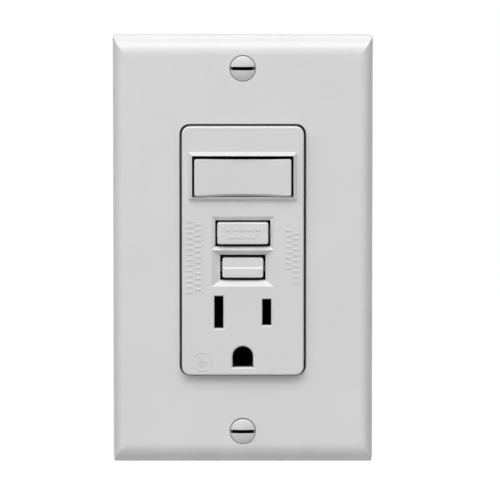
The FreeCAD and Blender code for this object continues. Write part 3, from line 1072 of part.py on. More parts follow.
# =============================== build ===============================
def build():
    os.makedirs("parts", exist_ok=True)
    export("wall_plate", wall_plate())
    export("plate_screws", plate_screw(PLATE_SCREW_Z), plate_screw(-PLATE_SCREW_Z))
    export("front_cover", front_cover())
    export("rocker", rocker())
    export("rocker_plunger", rocker_plunger())
    export("rocker_spring", rocker_spring())
    export("reset_button", reset_button())
    export("reset_stem", reset_stem())
    export("reset_spring", coil_spring("y", 2.2, 0.25, SPRING_Y0, 4.8, 5, (0, RESET_Z)))
    export("test_button", test_button())
    export("test_return_spring", coil_spring("y", 1.5, 0.2, SPRING_Y0, 3.6, 4.5, (0, TEST_Z)))
    export("test_blade", test_blade())
    export("mounting_strap", mounting_strap())
    export("ground_contact", ground_contact())
    export("ground_rivets", *[ground_rivet(x) for x in RIVET_XS])
    export("ground_screw", ground_screw())
    export("contact_carrier", contact_carrier())
    export("hot_bus", load_bus(test_finger=False))
    export("neutral_bus", mirrored_x(load_bus(test_finger=True)))
    export("switch_common_terminal", switch_common_terminal())
    export("switch_contact_terminal", switch_contact_terminal())
    export("fixed_contact_pads", fixed_pad(ARM_X, PAD_Z), fixed_pad(-ARM_X, PAD_Z), switch_fixed_pad())
    export("switch_blade", switch_blade())
    export("switch_blade_pad", switch_blade_pad())
    export("contact_arm_hot", contact_arm())
    export("contact_arm_neutral", mirrored_x(contact_arm()))
    export("arm_pad_hot", arm_pad())
    export("arm_pad_neutral", mirrored_x(arm_pad()))
    export("line_conductors", line_conductor(), mirrored_x(line_conductor()))
    export("line_terminals", line_terminal(), mirrored_x(line_terminal()))
    export("latch_block", latch_block())
    export("latch_plate", latch_plate())
    export("solenoid_bobbin", solenoid_bobbin())
    export("solenoid_coil", solenoid_coil())
    export("solenoid_frame", solenoid_frame())
    export("solenoid_plunger", solenoid_plunger())
    export("plunger_spring", coil_spring("z", 1.5, 0.2, 24.1, 3.4, 4, (0, COIL_Y)))
    export("sensor_housing", sensor_housing())
    export("fault_sensor_ring", sensor_ring(17.6))
    export("neutral_sensor_ring", sensor_ring(13.5))
    export("circuit_board", circuit_board())
    export("control_chip", control_chip())
    export("thyristor", thyristor())
    export("board_resistors", *[board_resistor(x, z) for x, z in RESISTOR_PLACES])
    export("film_capacitor", film_capacitor())
    export("electrolytic_capacitor", electrolytic_capacitor())
    export("varistor", varistor())
    export("rear_housing", rear_housing())
    export("rating_label", rating_label())
    export("assembly_screws", *[assembly_screw(x, z) for x, z in BOSS_CORNERS])
    brass = [terminal_screw(z) for z in TERMINAL_ZS] + [mirrored_x(terminal_screw(TERMINAL_ZS[0]))]
    export("brass_terminal_screws", *brass)
    export("silver_terminal_screws", *[mirrored_x(terminal_screw(z)) for z in TERMINAL_ZS[1:]])
    export("clamp_plates", *[p for z in TERMINAL_ZS for p in both_sides(clamp_plate(z))])
    export("box_screws", box_screw(BOX_SCREW_Z), box_screw(-BOX_SCREW_Z))
    export("screw_retainers", screw_retainer(BOX_SCREW_Z), screw_retainer(-BOX_SCREW_Z))


build()
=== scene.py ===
import json
import math

import bmesh
import bpy
from mathutils import Matrix, Vector


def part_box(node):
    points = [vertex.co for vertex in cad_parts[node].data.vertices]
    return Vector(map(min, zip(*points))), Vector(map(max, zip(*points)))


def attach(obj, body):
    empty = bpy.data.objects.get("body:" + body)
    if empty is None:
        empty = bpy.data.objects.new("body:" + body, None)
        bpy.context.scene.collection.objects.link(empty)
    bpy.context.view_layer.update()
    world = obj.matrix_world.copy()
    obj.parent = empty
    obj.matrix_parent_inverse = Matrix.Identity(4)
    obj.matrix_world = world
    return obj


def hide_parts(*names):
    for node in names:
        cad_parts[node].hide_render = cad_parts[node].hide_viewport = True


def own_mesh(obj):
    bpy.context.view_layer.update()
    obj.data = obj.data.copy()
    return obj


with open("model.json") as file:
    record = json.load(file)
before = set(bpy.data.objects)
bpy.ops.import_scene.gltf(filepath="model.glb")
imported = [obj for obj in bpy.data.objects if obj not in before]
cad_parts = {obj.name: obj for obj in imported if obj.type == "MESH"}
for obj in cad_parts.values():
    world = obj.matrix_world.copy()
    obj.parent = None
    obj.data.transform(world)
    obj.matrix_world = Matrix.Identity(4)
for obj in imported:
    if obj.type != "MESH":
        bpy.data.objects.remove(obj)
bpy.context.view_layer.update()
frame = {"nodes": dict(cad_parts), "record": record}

# A single-gang wall outlet seen from the front and a little above. Metres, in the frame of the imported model:
# +Z is up, the front faces -Y and the wall plane is Y = 0.

MM = 0.001
slot_of = {part["node"]: part["material_slot"] for part in frame["record"]["subparts"]}


# =============================== shader building ===============================
class Shader:
    """One node material, with short calls for the nodes that the finishes below are made of."""

    def __init__(self, name):
        self.material = bpy.data.materials.new(name)
        self.material.use_nodes = True
        self.tree = self.material.node_tree
        self.tree.nodes.clear()
        self.bsdf = self.node("ShaderNodeBsdfPrincipled")
        output = self.node("ShaderNodeOutputMaterial")
        self.link(self.bsdf.outputs["BSDF"], output.inputs["Surface"])
        self.place = self.node("ShaderNodeTexCoord").outputs["Object"]
        self.normal = None

    def node(self, kind):
        return self.tree.nodes.new(kind)

    def link(self, source, target):
        self.tree.links.new(source, target)

    def stretched(self, x, y, z):
        """Object coordinates with each axis scaled, for grain that runs one way."""
        mapping = self.node("ShaderNodeMapping")
        mapping.inputs["Scale"].default_value = (x, y, z)
        self.link(self.place, mapping.inputs["Vector"])
        return mapping.outputs["Vector"]

    def noise(self, feature, detail=2.0, place=None):
        """Noise whose features are about `feature` metres across."""
        noise = self.node("ShaderNodeTexNoise")
        noise.inputs["Scale"].default_value = 1.0 / feature
        noise.inputs["Detail"].default_value = detail
        self.link(place or self.place, noise.inputs["Vector"])
        return noise.outputs["Fac"]

    def spread(self, value, low, high, start=0.3, end=0.7):
        """Maps start..end of a value to low..high."""
        spread = self.node("ShaderNodeMapRange")
        spread.inputs["From Min"].default_value = start
        spread.inputs["From Max"].default_value = end
        spread.inputs["To Min"].default_value = low
        spread.inputs["To Max"].default_value = high
        self.link(value, spread.inputs["Value"])
        return spread.outputs["Result"]

    def maths(self, operation, a, b):
        """A sum or product of sockets and numbers."""
        maths = self.node("ShaderNodeMath")
        maths.operation = operation
        for socket, value in zip(maths.inputs, (a, b)):
            if isinstance(value, (int, float)):
                socket.default_value = value
            else:
                self.link(value, socket)
        return maths.outputs["Value"]

    def mixed(self, factor, a, b):
        """Two colours, or a colour socket and a colour, mixed by a factor socket."""
        mix = self.node("ShaderNodeMix")
        mix.data_type = "RGBA"
        self.link(factor, mix.inputs["Factor"])
        for socket, value in ((mix.inputs[6], a), (mix.inputs[7], b)):
            if isinstance(value, tuple):
                socket.default_value = (*value, 1.0)
            else:
                self.link(value, socket)
        return mix.outputs[2]

    def soft_edges(self, radius):
        """Rounds the shading of sharp edges, and returns how near an edge a point is, from 0 to about 1."""
        bevel = self.node("ShaderNodeBevel")
        bevel.samples = 4
        bevel.inputs["Radius"].default_value = radius
        geometry = self.node("ShaderNodeNewGeometry")
        dot = self.node("ShaderNodeVectorMath")
        dot.operation = "DOT_PRODUCT"
        self.link(bevel.outputs["Normal"], dot.inputs[0])
        self.link(geometry.outputs["Normal"], dot.inputs[1])
        self.normal = bevel.outputs["Normal"]
        return self.spread(dot.outputs["Value"], 1.0, 0.0, 0.75, 1.0)

    def painted_gap_shade(self, reach):
        """A mask for painted shade: 0 in the open, and 1 in gaps so tight that surfaces within `reach` hide
        nearly everything.
        """
        cavity = self.node("ShaderNodeAmbientOcclusion")
        cavity.samples = 8
        cavity.inputs["Distance"].default_value = reach
        return self.spread(cavity.outputs["AO"], 1.0, 0.0, 0.12, 0.5)

    def relief(self, height, depth):
        """Adds bumps of about `depth` metres on top of the relief so far."""
        bump = self.node("ShaderNodeBump")
        bump.inputs["Strength"].default_value = 1.0
        bump.inputs["Distance"].default_value = depth
        self.link(height, bump.inputs["Height"])
        if self.normal:
            self.link(self.normal, bump.inputs["Normal"])
        self.normal = bump.outputs["Normal"]

    def finish(self, colour, roughness):
        self.link(colour, self.bsdf.inputs["Base Color"])
        self.link(roughness, self.bsdf.inputs["Roughness"])
        if self.normal:
            self.link(self.normal, self.bsdf.inputs["Normal"])
        return self.material


def tint(colour, factor):
    return tuple(min(1.0, c * factor) for c in colour)


# =============================== finishes ===============================
def moulded(name, colour, rough, grain=0.35 * MM, grain_depth=0.004 * MM, edge=0.12 * MM):
    """Moulded thermoplastic: faint clouding, a fine skin, soft edges that handling has polished and paled, and
    painted shade in tight gaps.
    """
    s = Shader(name)
    near_edge = s.soft_edges(edge)
    clouds = s.spread(s.noise(14 * MM, 3), 0.0, 1.0)
    body = s.mixed(clouds, tint(colour, 0.975), tint(colour, 1.015))
    specks = s.spread(s.noise(0.5 * MM, 1), 0.0, 1.0, 0.66, 0.78)
    body = s.mixed(specks, body, tint(colour, 0.93))
    worn = s.maths("MULTIPLY", near_edge, s.spread(s.noise(3 * MM, 4), 0.0, 0.5))
    body = s.mixed(worn, body, tint(colour, 1.06))
    # Painted shade: the colour falls to a tenth of itself where gaps are tight.
    body = s.mixed(s.painted_gap_shade(1.6 * MM), body, tint(colour, 0.1))
    gloss = s.spread(s.noise(2.5 * MM, 4), rough - 0.05, rough + 0.06)
    gloss = s.maths("SUBTRACT", gloss, s.maths("MULTIPLY", near_edge, 0.06))
    s.relief(s.noise(9 * MM, 1), 0.02 * MM)
    s.relief(s.noise(grain, 2), grain_depth)
    return s.finish(body, gloss)


def enamel(name, colour, rough, metal):
    """Baked paint over a screw: orange peel, and bare metal just showing on its sharpest edges."""
    s = Shader(name)
    near_edge = s.soft_edges(0.08 * MM)
    clouds = s.spread(s.noise(2.0 * MM, 3), 0.0, 1.0)
    body = s.mixed(clouds, tint(colour, 0.96), tint(colour, 1.02))
    chips = s.maths("MULTIPLY", near_edge, s.spread(s.noise(0.35 * MM, 4), 0.0, 0.5, 0.55, 0.62))
    body = s.mixed(chips, body, metal)
    gloss = s.spread(s.noise(0.8 * MM, 3), rough - 0.06, rough + 0.08)
    s.relief(s.noise(0.45 * MM, 2), 0.006 * MM)
    return s.finish(body, gloss)


def metal(name, colour, rough, grain=(1.0, 1.0, 1.0), tarnish=0.82, grain_depth=0.003 * MM):
    """Rolled, plated or drawn metal: directional grain, dulled patches, bright edges and painted shade in its
    hollows.
    """
    s = Shader(name)
    near_edge = s.soft_edges(0.08 * MM)
    s.bsdf.inputs["Metallic"].default_value = 1.0
    patches = s.spread(s.noise(1.8 * MM, 4), 0.0, 1.0, 0.35, 0.65)
    body = s.mixed(patches, tint(colour, tarnish), colour)
    body = s.mixed(s.maths("MULTIPLY", near_edge, 0.6), body, tint(colour, 1.15))
    # Painted shade: the colour falls to 8 % of itself wherever other surfaces lie within 20 mm.
    body = s.mixed(s.painted_gap_shade(20.0 * MM), body, tint(colour, 0.08))
    grain_place = s.stretched(*grain)
    scratches = s.noise(0.12 * MM, 3, grain_place)
    dulled = s.spread(patches, rough + 0.09, rough - 0.03, 0.0, 1.0)
    gloss = s.maths("ADD", dulled, s.spread(scratches, -0.05, 0.05))
    s.relief(scratches, grain_depth)
    return s.finish(body, gloss)


def galvanised(name, colour):
    """Zinc on steel strip: faint angular spangle with a rolled surface, and painted shade in its hollows."""
    s = Shader(name)
    near_edge = s.soft_edges(0.1 * MM)
    s.bsdf.inputs["Metallic"].default_value = 1.0
    spangle = s.node("ShaderNodeTexVoronoi")
    spangle.inputs["Scale"].default_value = 1.0 / (2.2 * MM)
    s.link(s.place, spangle.inputs["Vector"])
    shade = s.node("ShaderNodeSeparateColor")
    s.link(spangle.outputs["Color"], shade.inputs["Color"])
    crystal = shade.outputs["Red"]
    body = s.mixed(crystal, tint(colour, 0.86), tint(colour, 1.04))
    body = s.mixed(s.maths("MULTIPLY", near_edge, 0.5), body, tint(colour, 1.15))
    # Painted shade: the colour falls to 8 % of itself wherever other surfaces lie within 20 mm.
    body = s.mixed(s.painted_gap_shade(20.0 * MM), body, tint(colour, 0.08))
    gloss = s.spread(crystal, 0.34, 0.48, 0.0, 1.0)
    s.relief(s.noise(0.3 * MM, 3), 0.004 * MM)
    return s.finish(body, gloss)


def winding(name, colour):
    """Enamelled wire laid turn beside turn around Z, with painted shade between the turns and painted
    highlight along them.
    """
    s = Shader(name)
    s.bsdf.inputs["Metallic"].default_value = 0.8
    turns = s.node("ShaderNodeTexWave")
    turns.bands_direction = "Z"
    turns.inputs["Scale"].default_value = 1.0 / (0.4 * MM) / 3.0
    s.link(s.place, turns.inputs["Vector"])
    lay = turns.outputs["Fac"]
    # Painted shade and painted highlight: each turn runs from 0.55 to 1.15 of the wire's colour across its
    # width.
    body = s.mixed(lay, tint(colour, 0.55), tint(colour, 1.15))
    s.relief(lay, 0.06 * MM)
    return s.finish(body, s.spread(s.noise(1.0 * MM, 2), 0.28, 0.4))


def laminate(name, colour):
    """A circuit board's solder mask with paler tracks under it."""
    s = Shader(name)
    tracks = s.node("ShaderNodeTexBrick")
    tracks.inputs["Scale"].default_value = 1.0 / (9 * MM)
    tracks.inputs["Mortar Size"].default_value = 0.06
    tracks.inputs["Brick Width"].default_value = 0.7
    tracks.inputs["Row Height"].default_value = 0.33
    turn = s.node("ShaderNodeMapping")
    turn.inputs["Rotation"].default_value = (math.pi / 2, 0, 0)
    s.link(s.place, turn.inputs["Vector"])
    s.link(turn.outputs["Vector"], tracks.inputs["Vector"])
    body = s.mixed(tracks.outputs["Fac"], tint(colour, 0.85), tint(colour, 1.7))
    s.relief(tracks.outputs["Fac"], 0.03 * MM)
    s.relief(s.noise(0.4 * MM, 2), 0.004 * MM)
    return s.finish(body, s.spread(s.noise(2 * MM, 3), 0.3, 0.42))


def fibrous(name, colour, fibre, rough):
    """Paper or vulcanised fibre: long pale and dark fibres pressed flat."""
    s = Shader(name)
    fibres = s.noise(fibre, 5, s.stretched(1.0, 1.0, 0.25))
    body = s.mixed(s.spread(fibres, 0.0, 1.0, 0.35, 0.65), tint(colour, 0.9), tint(colour, 1.05))
    s.relief(fibres, 0.01 * MM)
    return s.finish(body, s.spread(s.noise(1.2 * MM, 3), rough - 0.05, rough + 0.08))


WHITE = (0.73, 0.73, 0.728)
ENAMEL_WHITE = (0.65, 0.65, 0.647)
BARE_STEEL = (0.55, 0.55, 0.56)
ALONG_Z = (1.0, 1.0, 0.06)

finishes = {
    "plate_plastic": moulded("plate_plastic_look", WHITE, 0.36),
    "cover_plastic": moulded("cover_plastic_look", tint(WHITE, 0.985), 0.40),
    # The rocker's white is 6 % darker than the plate's: painted shade, offsetting the extra light that its
    # tilt catches.
    "rocker_plastic": moulded("rocker_plastic_look", tint(WHITE, 0.94), 0.34),
    "button_plastic": moulded("button_plastic_look", tint(WHITE, 0.99), 0.38, edge=0.1 * MM),
    "painted_screw": enamel("painted_screw_look", ENAMEL_WHITE, 0.32, BARE_STEEL),
    "plunger_plastic": moulded("plunger_plastic_look", (0.78, 0.77, 0.70), 0.45),
    "spring_steel": metal("spring_steel_look", (0.62, 0.62, 0.63), 0.25),
    "steel": metal("steel_look", BARE_STEEL, 0.38, ALONG_Z),
    "strap_steel": galvanised("strap_steel_look", (0.62, 0.63, 0.64)),
    "bronze": metal("bronze_look", (0.72, 0.48, 0.30), 0.3, ALONG_Z),
    "brass": metal("brass_look", (0.80, 0.62, 0.30), 0.28, ALONG_Z),
    "copper": metal("copper_look", (0.80, 0.42, 0.27), 0.3, ALONG_Z),
    "contact_silver": metal("contact_silver_look", (0.82, 0.82, 0.80), 0.3),
    "green_screw": metal("green_screw_look", (0.07, 0.34, 0.13), 0.33, tarnish=0.7),
    "carrier_plastic": moulded("carrier_plastic_look", (0.035, 0.035, 0.037), 0.5),
    "latch_plastic": moulded("latch_plastic_look", (0.72, 0.69, 0.60), 0.45),
    "bobbin_plastic": moulded("bobbin_plastic_look", (0.04, 0.04, 0.045), 0.5),
    "coil_copper": winding("coil_copper_look", (0.60, 0.26, 0.12)),
    "board_laminate": laminate("board_laminate_look", (0.02, 0.16, 0.06)),
    "chip_epoxy": moulded("chip_epoxy_look", (0.02, 0.02, 0.022), 0.55, 0.15 * MM),
    "resistor_paint": moulded("resistor_paint_look", (0.55, 0.42, 0.24), 0.4),
    "capacitor_film": moulded("capacitor_film_look", (0.42, 0.10, 0.04), 0.35),
    "capacitor_sleeve": moulded("capacitor_sleeve_look", (0.015, 0.02, 0.06), 0.3),
    "varistor_coat": moulded("varistor_coat_look", (0.03, 0.10, 0.36), 0.42),
    "housing_plastic": moulded(
        "housing_plastic_look", (0.70, 0.70, 0.69), 0.48,
        grain=0.5 * MM, grain_depth=0.008 * MM, edge=0.2 * MM,
    ),
    "label_paper": fibrous("label_paper_look", (0.78, 0.78, 0.75), 0.4 * MM, 0.62),
    "zinc_screw": metal("zinc_screw_look", (0.66, 0.67, 0.66), 0.3),
    "brass_screw": metal("brass_screw_look", (0.78, 0.60, 0.28), 0.27),
    "nickel_screw": metal("nickel_screw_look", (0.70, 0.69, 0.66), 0.26),
    "fibre": fibrous("fibre_look", (0.62, 0.60, 0.54), 0.3 * MM, 0.7),
}

for name, node in frame["nodes"].items():
    node.data.materials.clear()
    node.data.materials.append(finishes[slot_of[name]])


# =============================== mesh building ===============================
def add_piece(name, mesh, body, slot):
    """Puts a finished mesh into the scene as a piece of the object."""
    mesh.materials.clear()
    mesh.materials.append(finishes[slot])
    piece = bpy.data.objects.new(name, mesh)
    bpy.context.scene.collection.objects.link(piece)
    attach(piece, body)
    return piece


def new_mesh(name, verts, faces):
    mesh = bpy.data.meshes.new(name)
    mesh.from_pydata(verts, [], faces)
    return mesh


def ring_faces(rings, count, first=0, closed=False):
    """Faces that join rings of `count` points, each ring to the next, and the last to the first if closed."""
    faces = []
    for i in range(rings if closed else rings - 1):
        here, following = first + i * count, first + (i + 1) % rings * count
        for j in range(count):
            k = (j + 1) % count
            faces.append((here + j, here + k, following + k, following + j))
    return faces


def block(x, y, z, inset=0.0):
    """Corners and faces of a block between pairs of x, y and z, its -Y face drawn in by `inset`."""
    corners = []
    for depth, draw in ((y[0], inset), (y[1], 0.0)):
        x0, x1, z0, z1 = x[0] + draw, x[1] - draw, z[0] + draw, z[1] - draw
        corners += [(x0, depth, z0), (x1, depth, z0), (x1, depth, z1), (x0, depth, z1)]
    faces = [(0, 1, 2, 3), (7, 6, 5, 4), (0, 4, 5, 1), (1, 5, 6, 2), (2, 6, 7, 3), (3, 7, 4, 0)]
    return corners, faces


def merged_blocks(name, blocks):
    verts, faces = [], []
    for corners, sides in blocks:
        faces += [tuple(i + len(verts) for i in side) for side in sides]
        verts += corners
    return new_mesh(name, verts, faces)


def outward(mesh):
    """Turns every face outward and shades it smooth between its sharp edges."""
    work = bmesh.new()
    work.from_mesh(mesh)
    bmesh.ops.recalc_face_normals(work, faces=work.faces)
    work.to_mesh(mesh)
    work.free()
    mesh.shade_smooth()
    mesh.set_sharp_from_angle(angle=math.radians(32))
    return mesh


def carved(mesh, cutter):
    """The mesh with another closed mesh cut out of it."""
    solid = bpy.data.objects.new("solid", mesh)
    tool = bpy.data.objects.new("tool", cutter)
    for thing in (solid, tool):
        bpy.context.scene.collection.objects.link(thing)
    cut = solid.modifiers.new("cut", "BOOLEAN")
    cut.operation, cut.solver, cut.object = "DIFFERENCE", "EXACT", tool
    graph = bpy.context.evaluated_depsgraph_get()
    result = bpy.data.meshes.new_from_object(solid.evaluated_get(graph))
    for thing in (solid, tool):
        bpy.data.objects.remove(thing)
    return result


def ends_of(node):
    """The two corners of a node's box."""
    low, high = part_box(node)
    return Vector(low), Vector(high)


# =============================== screws ===============================
PITCH = 25.4 * MM / 32
THREAD_DEPTH = 0.42 * MM
STATIONS_PER_TURN = 10
SCREW_SIDES = 40
SHANK_R = 1.75 * MM
NECK_R = 1.4 * MM
STEP = 0.01 * MM  # the run of a square shoulder
LONG_TAPER, SHORT_TAPER = 0.7 * MM, 0.3 * MM
BORDER = 1.01  # how far past a slot's walls a face may be centred and still belong to it


def dome(radius, rise, steps=7):
    """Stations of a domed head, from its crown down to its rim."""
    sphere = (radius**2 + rise**2) / (2 * rise)
    widths = [radius * math.sin(math.pi / 2 * i / steps) for i in range(1, steps + 1)]
    return [(sphere - math.sqrt(sphere**2 - r**2), r) for r in widths]


def rounded_rim(head_r, edge_r, turns):
    """Stations of a flat head's rounded edge, at the given turns from its face."""
    return [(edge_r * (1 - math.cos(a)), head_r - edge_r * (1 - math.sin(a))) for a in turns]


def tapered_end(length, taper):
    return [(length - taper, SHANK_R), (length, SHANK_R - taper)]


def thread_cut(along, turn, start, end):
    """The thread's depth at a place on the shank. It fades over one pitch at either end."""
    phase = (along / PITCH - turn) % 1.0
    fade = min(1.0, (along - start) / PITCH, (end - along) / PITCH)
    return THREAD_DEPTH * fade * min(1.0, 1.2 * abs(2 * phase - 1))


def screw_mesh(name, outline, thread):
    """A turned screw with its head's top at the origin and its shank along +Y. `outline` lists (distance
    along, radius). `thread` is the threaded stretch, cut into the widest radius from its start on."""
    start, end = thread
    major = max(r for along, r in outline if along >= start)
    steps = int((end - start) / PITCH * STATIONS_PER_TURN)
    threaded = [start + (end - start) * i / steps for i in range(1, steps)]
    stations = [(along, r, False) for along, r in outline]
    stations += [(along, major, True) for along in threaded]
    stations.sort()
    verts = [(0.0, 0.0, 0.0)]
    for along, radius, cut in stations:
        for i in range(SCREW_SIDES):
            angle = 2 * math.pi * i / SCREW_SIDES
            r = radius - thread_cut(along, i / SCREW_SIDES, start, end) if cut else radius
            verts.append((r * math.cos(angle), along, r * math.sin(angle)))
    verts.append((0.0, stations[-1][0], 0.0))
    faces = ring_faces(len(stations), SCREW_SIDES, first=1)
    last = 1 + (len(stations) - 1) * SCREW_SIDES
    for i in range(SCREW_SIDES):
        j = (i + 1) % SCREW_SIDES
        faces.append((0, 1 + j, 1 + i))
        faces.append((len(verts) - 1, last + i, last + j))
    return new_mesh(name, verts, faces)


def slot_tool(half_width, depth, reach):
    return merged_blocks("slot", [block((-reach, reach), (-MM, depth), (-half_width, half_width))])


def cross_tool(half_width, depth, reach):
    return merged_blocks("cross", [block((-half_width, half_width), (-MM, depth), (-reach, reach))])


def hexagon_tool(i, corner_r, depth):
    """Shaves flat number `i` of a hexagon head whose corners lie at `corner_r`."""
    across = (corner_r * math.cos(math.pi / 6), 3 * corner_r)
    flat = merged_blocks("flat", [block(across, (-MM, depth), (-3 * corner_r, 3 * corner_r))])
    flat.transform(Matrix.Rotation(math.pi / 3 * (i + 0.5), 4, "Y"))
    return flat


def add_screw(name, node, outline, thread, recess, place):
    """Makes one screw, cuts each mesh in `recess` out of its head and moves it to `place`."""
    mesh = screw_mesh(name, outline, thread)
    for tool in recess:
        mesh = carved(outward(mesh), outward(tool))
    mesh = outward(mesh)
    mesh.transform(place)
    mesh.name = name
    piece = add_piece(name, mesh, "device", slot_of[node])
    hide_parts(node)
    return piece


def darken_slot(piece, place, half_width, depth, material):
    """Gives the walls and the floor of a screw's slot a second material, which paints shade into the slot."""
    piece.data.materials.append(material)
    back = place.inverted()
    for face in piece.data.polygons:
        centre = back @ face.center
        inside = abs(centre.z) < half_width * BORDER and centre.y < depth * BORDER
        on_floor = abs(centre.y - depth) < depth * (BORDER - 1)
        if inside and abs(face.normal.y) < 0.9 or on_floor:
            face.material_index = 1


def plate_screws():
    """Oval heads with a level slot, countersunk, on a threaded shank."""
    low, high = ends_of("plate_screws")
    head_r, tip = high.x, high.y - low.y
    crown, rim, seat = 0.85 * MM, 0.15 * MM, 1.72 * MM
    outline = dome(head_r, crown) + [(crown + rim, head_r), (crown + rim + seat, SHANK_R)]
    outline += tapered_end(tip, LONG_TAPER)
    thread = (crown + rim + seat + 0.1 * MM, tip - 0.5 * MM)
    half_width, depth = 0.45 * MM, crown + 0.95 * MM
    # The slot's near-black material is painted shade: the real slot is painted like the head.
    slot_shade = metal("slot_painted_shade_look", (0.07, 0.07, 0.07), 0.5)
    for side, z in (("upper", high.z - head_r), ("lower", low.z + head_r)):
        place = Matrix.Translation((0.0, low.y, z))
        slot = slot_tool(half_width, depth, head_r + MM)
        screw = add_screw(f"plate_screw_{side}", "plate_screws", outline, thread, [slot], place)
        darken_slot(screw, place, half_width, depth, slot_shade)


def box_screws():
    """Long screws with a rounded flat head and a plain neck that keeps the retainer on."""
    low, high = ends_of("box_screws")
    head_r, tip, head_t = high.x, high.y - low.y, 1.85 * MM
    neck_end = -low.y + 0.45 * MM
    outline = rounded_rim(head_r, 1.1 * MM, (0.0, 0.4, 0.8, 1.2, math.pi / 2))
    outline += [(head_t, head_r), (head_t + STEP, NECK_R), (neck_end - 0.25 * MM, NECK_R)]
    outline += [(neck_end, SHANK_R)] + tapered_end(tip, LONG_TAPER)
    for side, z in (("upper", high.z - head_r), ("lower", low.z + head_r)):
        place = Matrix.Translation((0.0, low.y, z))
        slot = slot_tool(0.5 * MM, 1.0 * MM, head_r + MM)
        add_screw(f"box_screw_{side}", "box_screws", outline, (neck_end, tip - 0.5 * MM), [slot], place)


def terminal_screws():
    """Combination-head screws facing out of both sides of the body."""
    head_r, head_t, length = 3.75 * MM, 2.1 * MM, 7.35 * MM
    outline = rounded_rim(head_r, 0.5 * MM, (0.0, 0.5, 1.0, math.pi / 2))
    outline += [(head_t, head_r), (head_t + STEP, SHANK_R)] + tapered_end(length, SHORT_TAPER)
    thread = (head_t + 0.4 * MM, length - 0.2 * MM)
    low, high = ends_of("brass_terminal_screws")
    top_z, bottom_z, y = high.z - head_r, low.z + head_r, (low.y + high.y) / 2
    middle_z = (top_z + bottom_z) / 2
    rows = [("brass_terminal_screws", 1, z) for z in (top_z, middle_z, bottom_z)]
    rows.append(("brass_terminal_screws", -1, top_z))
    rows += [("silver_terminal_screws", -1, z) for z in (middle_z, bottom_z)]
    for i, (node, side, z) in enumerate(rows):
        place = Matrix.Translation((side * high.x, y, z)) @ Matrix.Rotation(side * math.pi / 2, 4, "Z")
        recess = [slot_tool(0.5 * MM, 1.1 * MM, 4.0 * MM), cross_tool(0.5 * MM, 1.1 * MM, 1.9 * MM)]
        add_screw(f"terminal_screw_{i}", node, outline, thread, recess, place)


def ground_screw():
    """A green hexagon washer-head screw, facing -X."""
    low, high = ends_of("ground_screw")
    hexagon_r, hexagon_t, washer_r, head_t = 3.75 * MM, 2.0 * MM, 3.9 * MM, 3.0 * MM
    length = high.x - low.x
    outline = [(0.0, hexagon_r), (hexagon_t, hexagon_r), (hexagon_t + STEP, washer_r), (head_t, washer_r)]
    outline += [(head_t + STEP, SHANK_R)] + tapered_end(length, SHORT_TAPER)
    centre = (low.x, (low.y + high.y) / 2, (low.z + high.z) / 2)
    place = Matrix.Translation(centre) @ Matrix.Rotation(-math.pi / 2, 4, "Z")
    recess = [hexagon_tool(i, hexagon_r, hexagon_t) for i in range(6)]
    recess.append(slot_tool(0.5 * MM, 1.1 * MM, 5.0 * MM))
    thread = (head_t + 0.4 * MM, length - 0.2 * MM)
    add_screw("ground_screw_detailed", "ground_screw", outline, thread, recess, place)


# =============================== springs ===============================
WIRE_SIDES, STEPS_PER_COIL = 10, 40


def coil_mesh(node, wire, turns, axis):
    """A closed round wire wound along Y (axis 1) or Z (axis 2), as long and as wide as its node."""
    low, high = ends_of(node)
    middle, length = (low + high) / 2, high[axis] - low[axis]
    radius, steps = (high.x - low.x) / 2 - wire, int(turns * STEPS_PER_COIL)
    along = Vector((0.0, 1.0, 0.0)) if axis == 1 else Vector((0.0, 0.0, 1.0))
    verts = []
    for i in range(steps + 1):
        turn = 2 * math.pi * turns * i / steps
        side = -math.sin(turn) if axis == 1 else math.sin(turn)
        out = Vector((math.cos(turn), 0.0, side)) if axis == 1 else Vector((math.cos(turn), side, 0.0))
        centre = middle + out * radius + along * (length - 2 * wire) * (i / steps - 0.5)
        for j in range(WIRE_SIDES):
            spin = 2 * math.pi * j / WIRE_SIDES
            verts.append(centre + (out * math.cos(spin) + along * math.sin(spin)) * wire)
    faces = [tuple(range(WIRE_SIDES)), tuple(range(steps * WIRE_SIDES, (steps + 1) * WIRE_SIDES))]
    return outward(new_mesh(node + "_coil", verts, faces + ring_faces(steps + 1, WIRE_SIDES)))


def squeezed_springs():
    """The springs that a moving piece squeezes, each redrawn as a coil of wire in place of its node."""
    springs = (
        ("reset_spring", "reset_press", 0.25 * MM, 5, 1),
        ("test_return_spring", "test_press", 0.2 * MM, 4.5, 1),
        ("plunger_spring", "plunger_lift", 0.2 * MM, 4, 2),
    )
    for node, joint, wire, turns, axis in springs:
        piece = add_piece(node + "_coil", coil_mesh(node, wire, turns, axis), "device", slot_of[node])
        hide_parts(node)
        low, high = ends_of(node)
        anchor, along = (low + high) / 2, Vector((0.0, 0.0, 0.0))
        anchor[axis], along[axis] = high[axis], 1.0
        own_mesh(piece)


# =============================== marks moulded on the face ===============================
FRAME_RISE = 1.0 * MM  # how far the rocker's frame stands out from the cover's face
MARK_ROOT = 0.15 * MM  # how far a mark reaches into the face
BAR_RISE, RING_RISE = 0.12 * MM, 0.1 * MM


def cover_face():
    return ends_of("front_cover")[0].y + FRAME_RISE


def raised_bars(name, bars):
    """Low bars standing on the cover's face, each given as its x and z spans in millimetres."""
    face, blocks = cover_face(), []
    for x0, x1, z0, z1 in bars:
        spans = ((x0 * MM, x1 * MM), (face - BAR_RISE, face + MARK_ROOT), (z0 * MM, z1 * MM))
        blocks.append(block(*spans, inset=0.05 * MM))
    add_piece(name, outward(merged_blocks(name, blocks)), "device", slot_of["front_cover"])


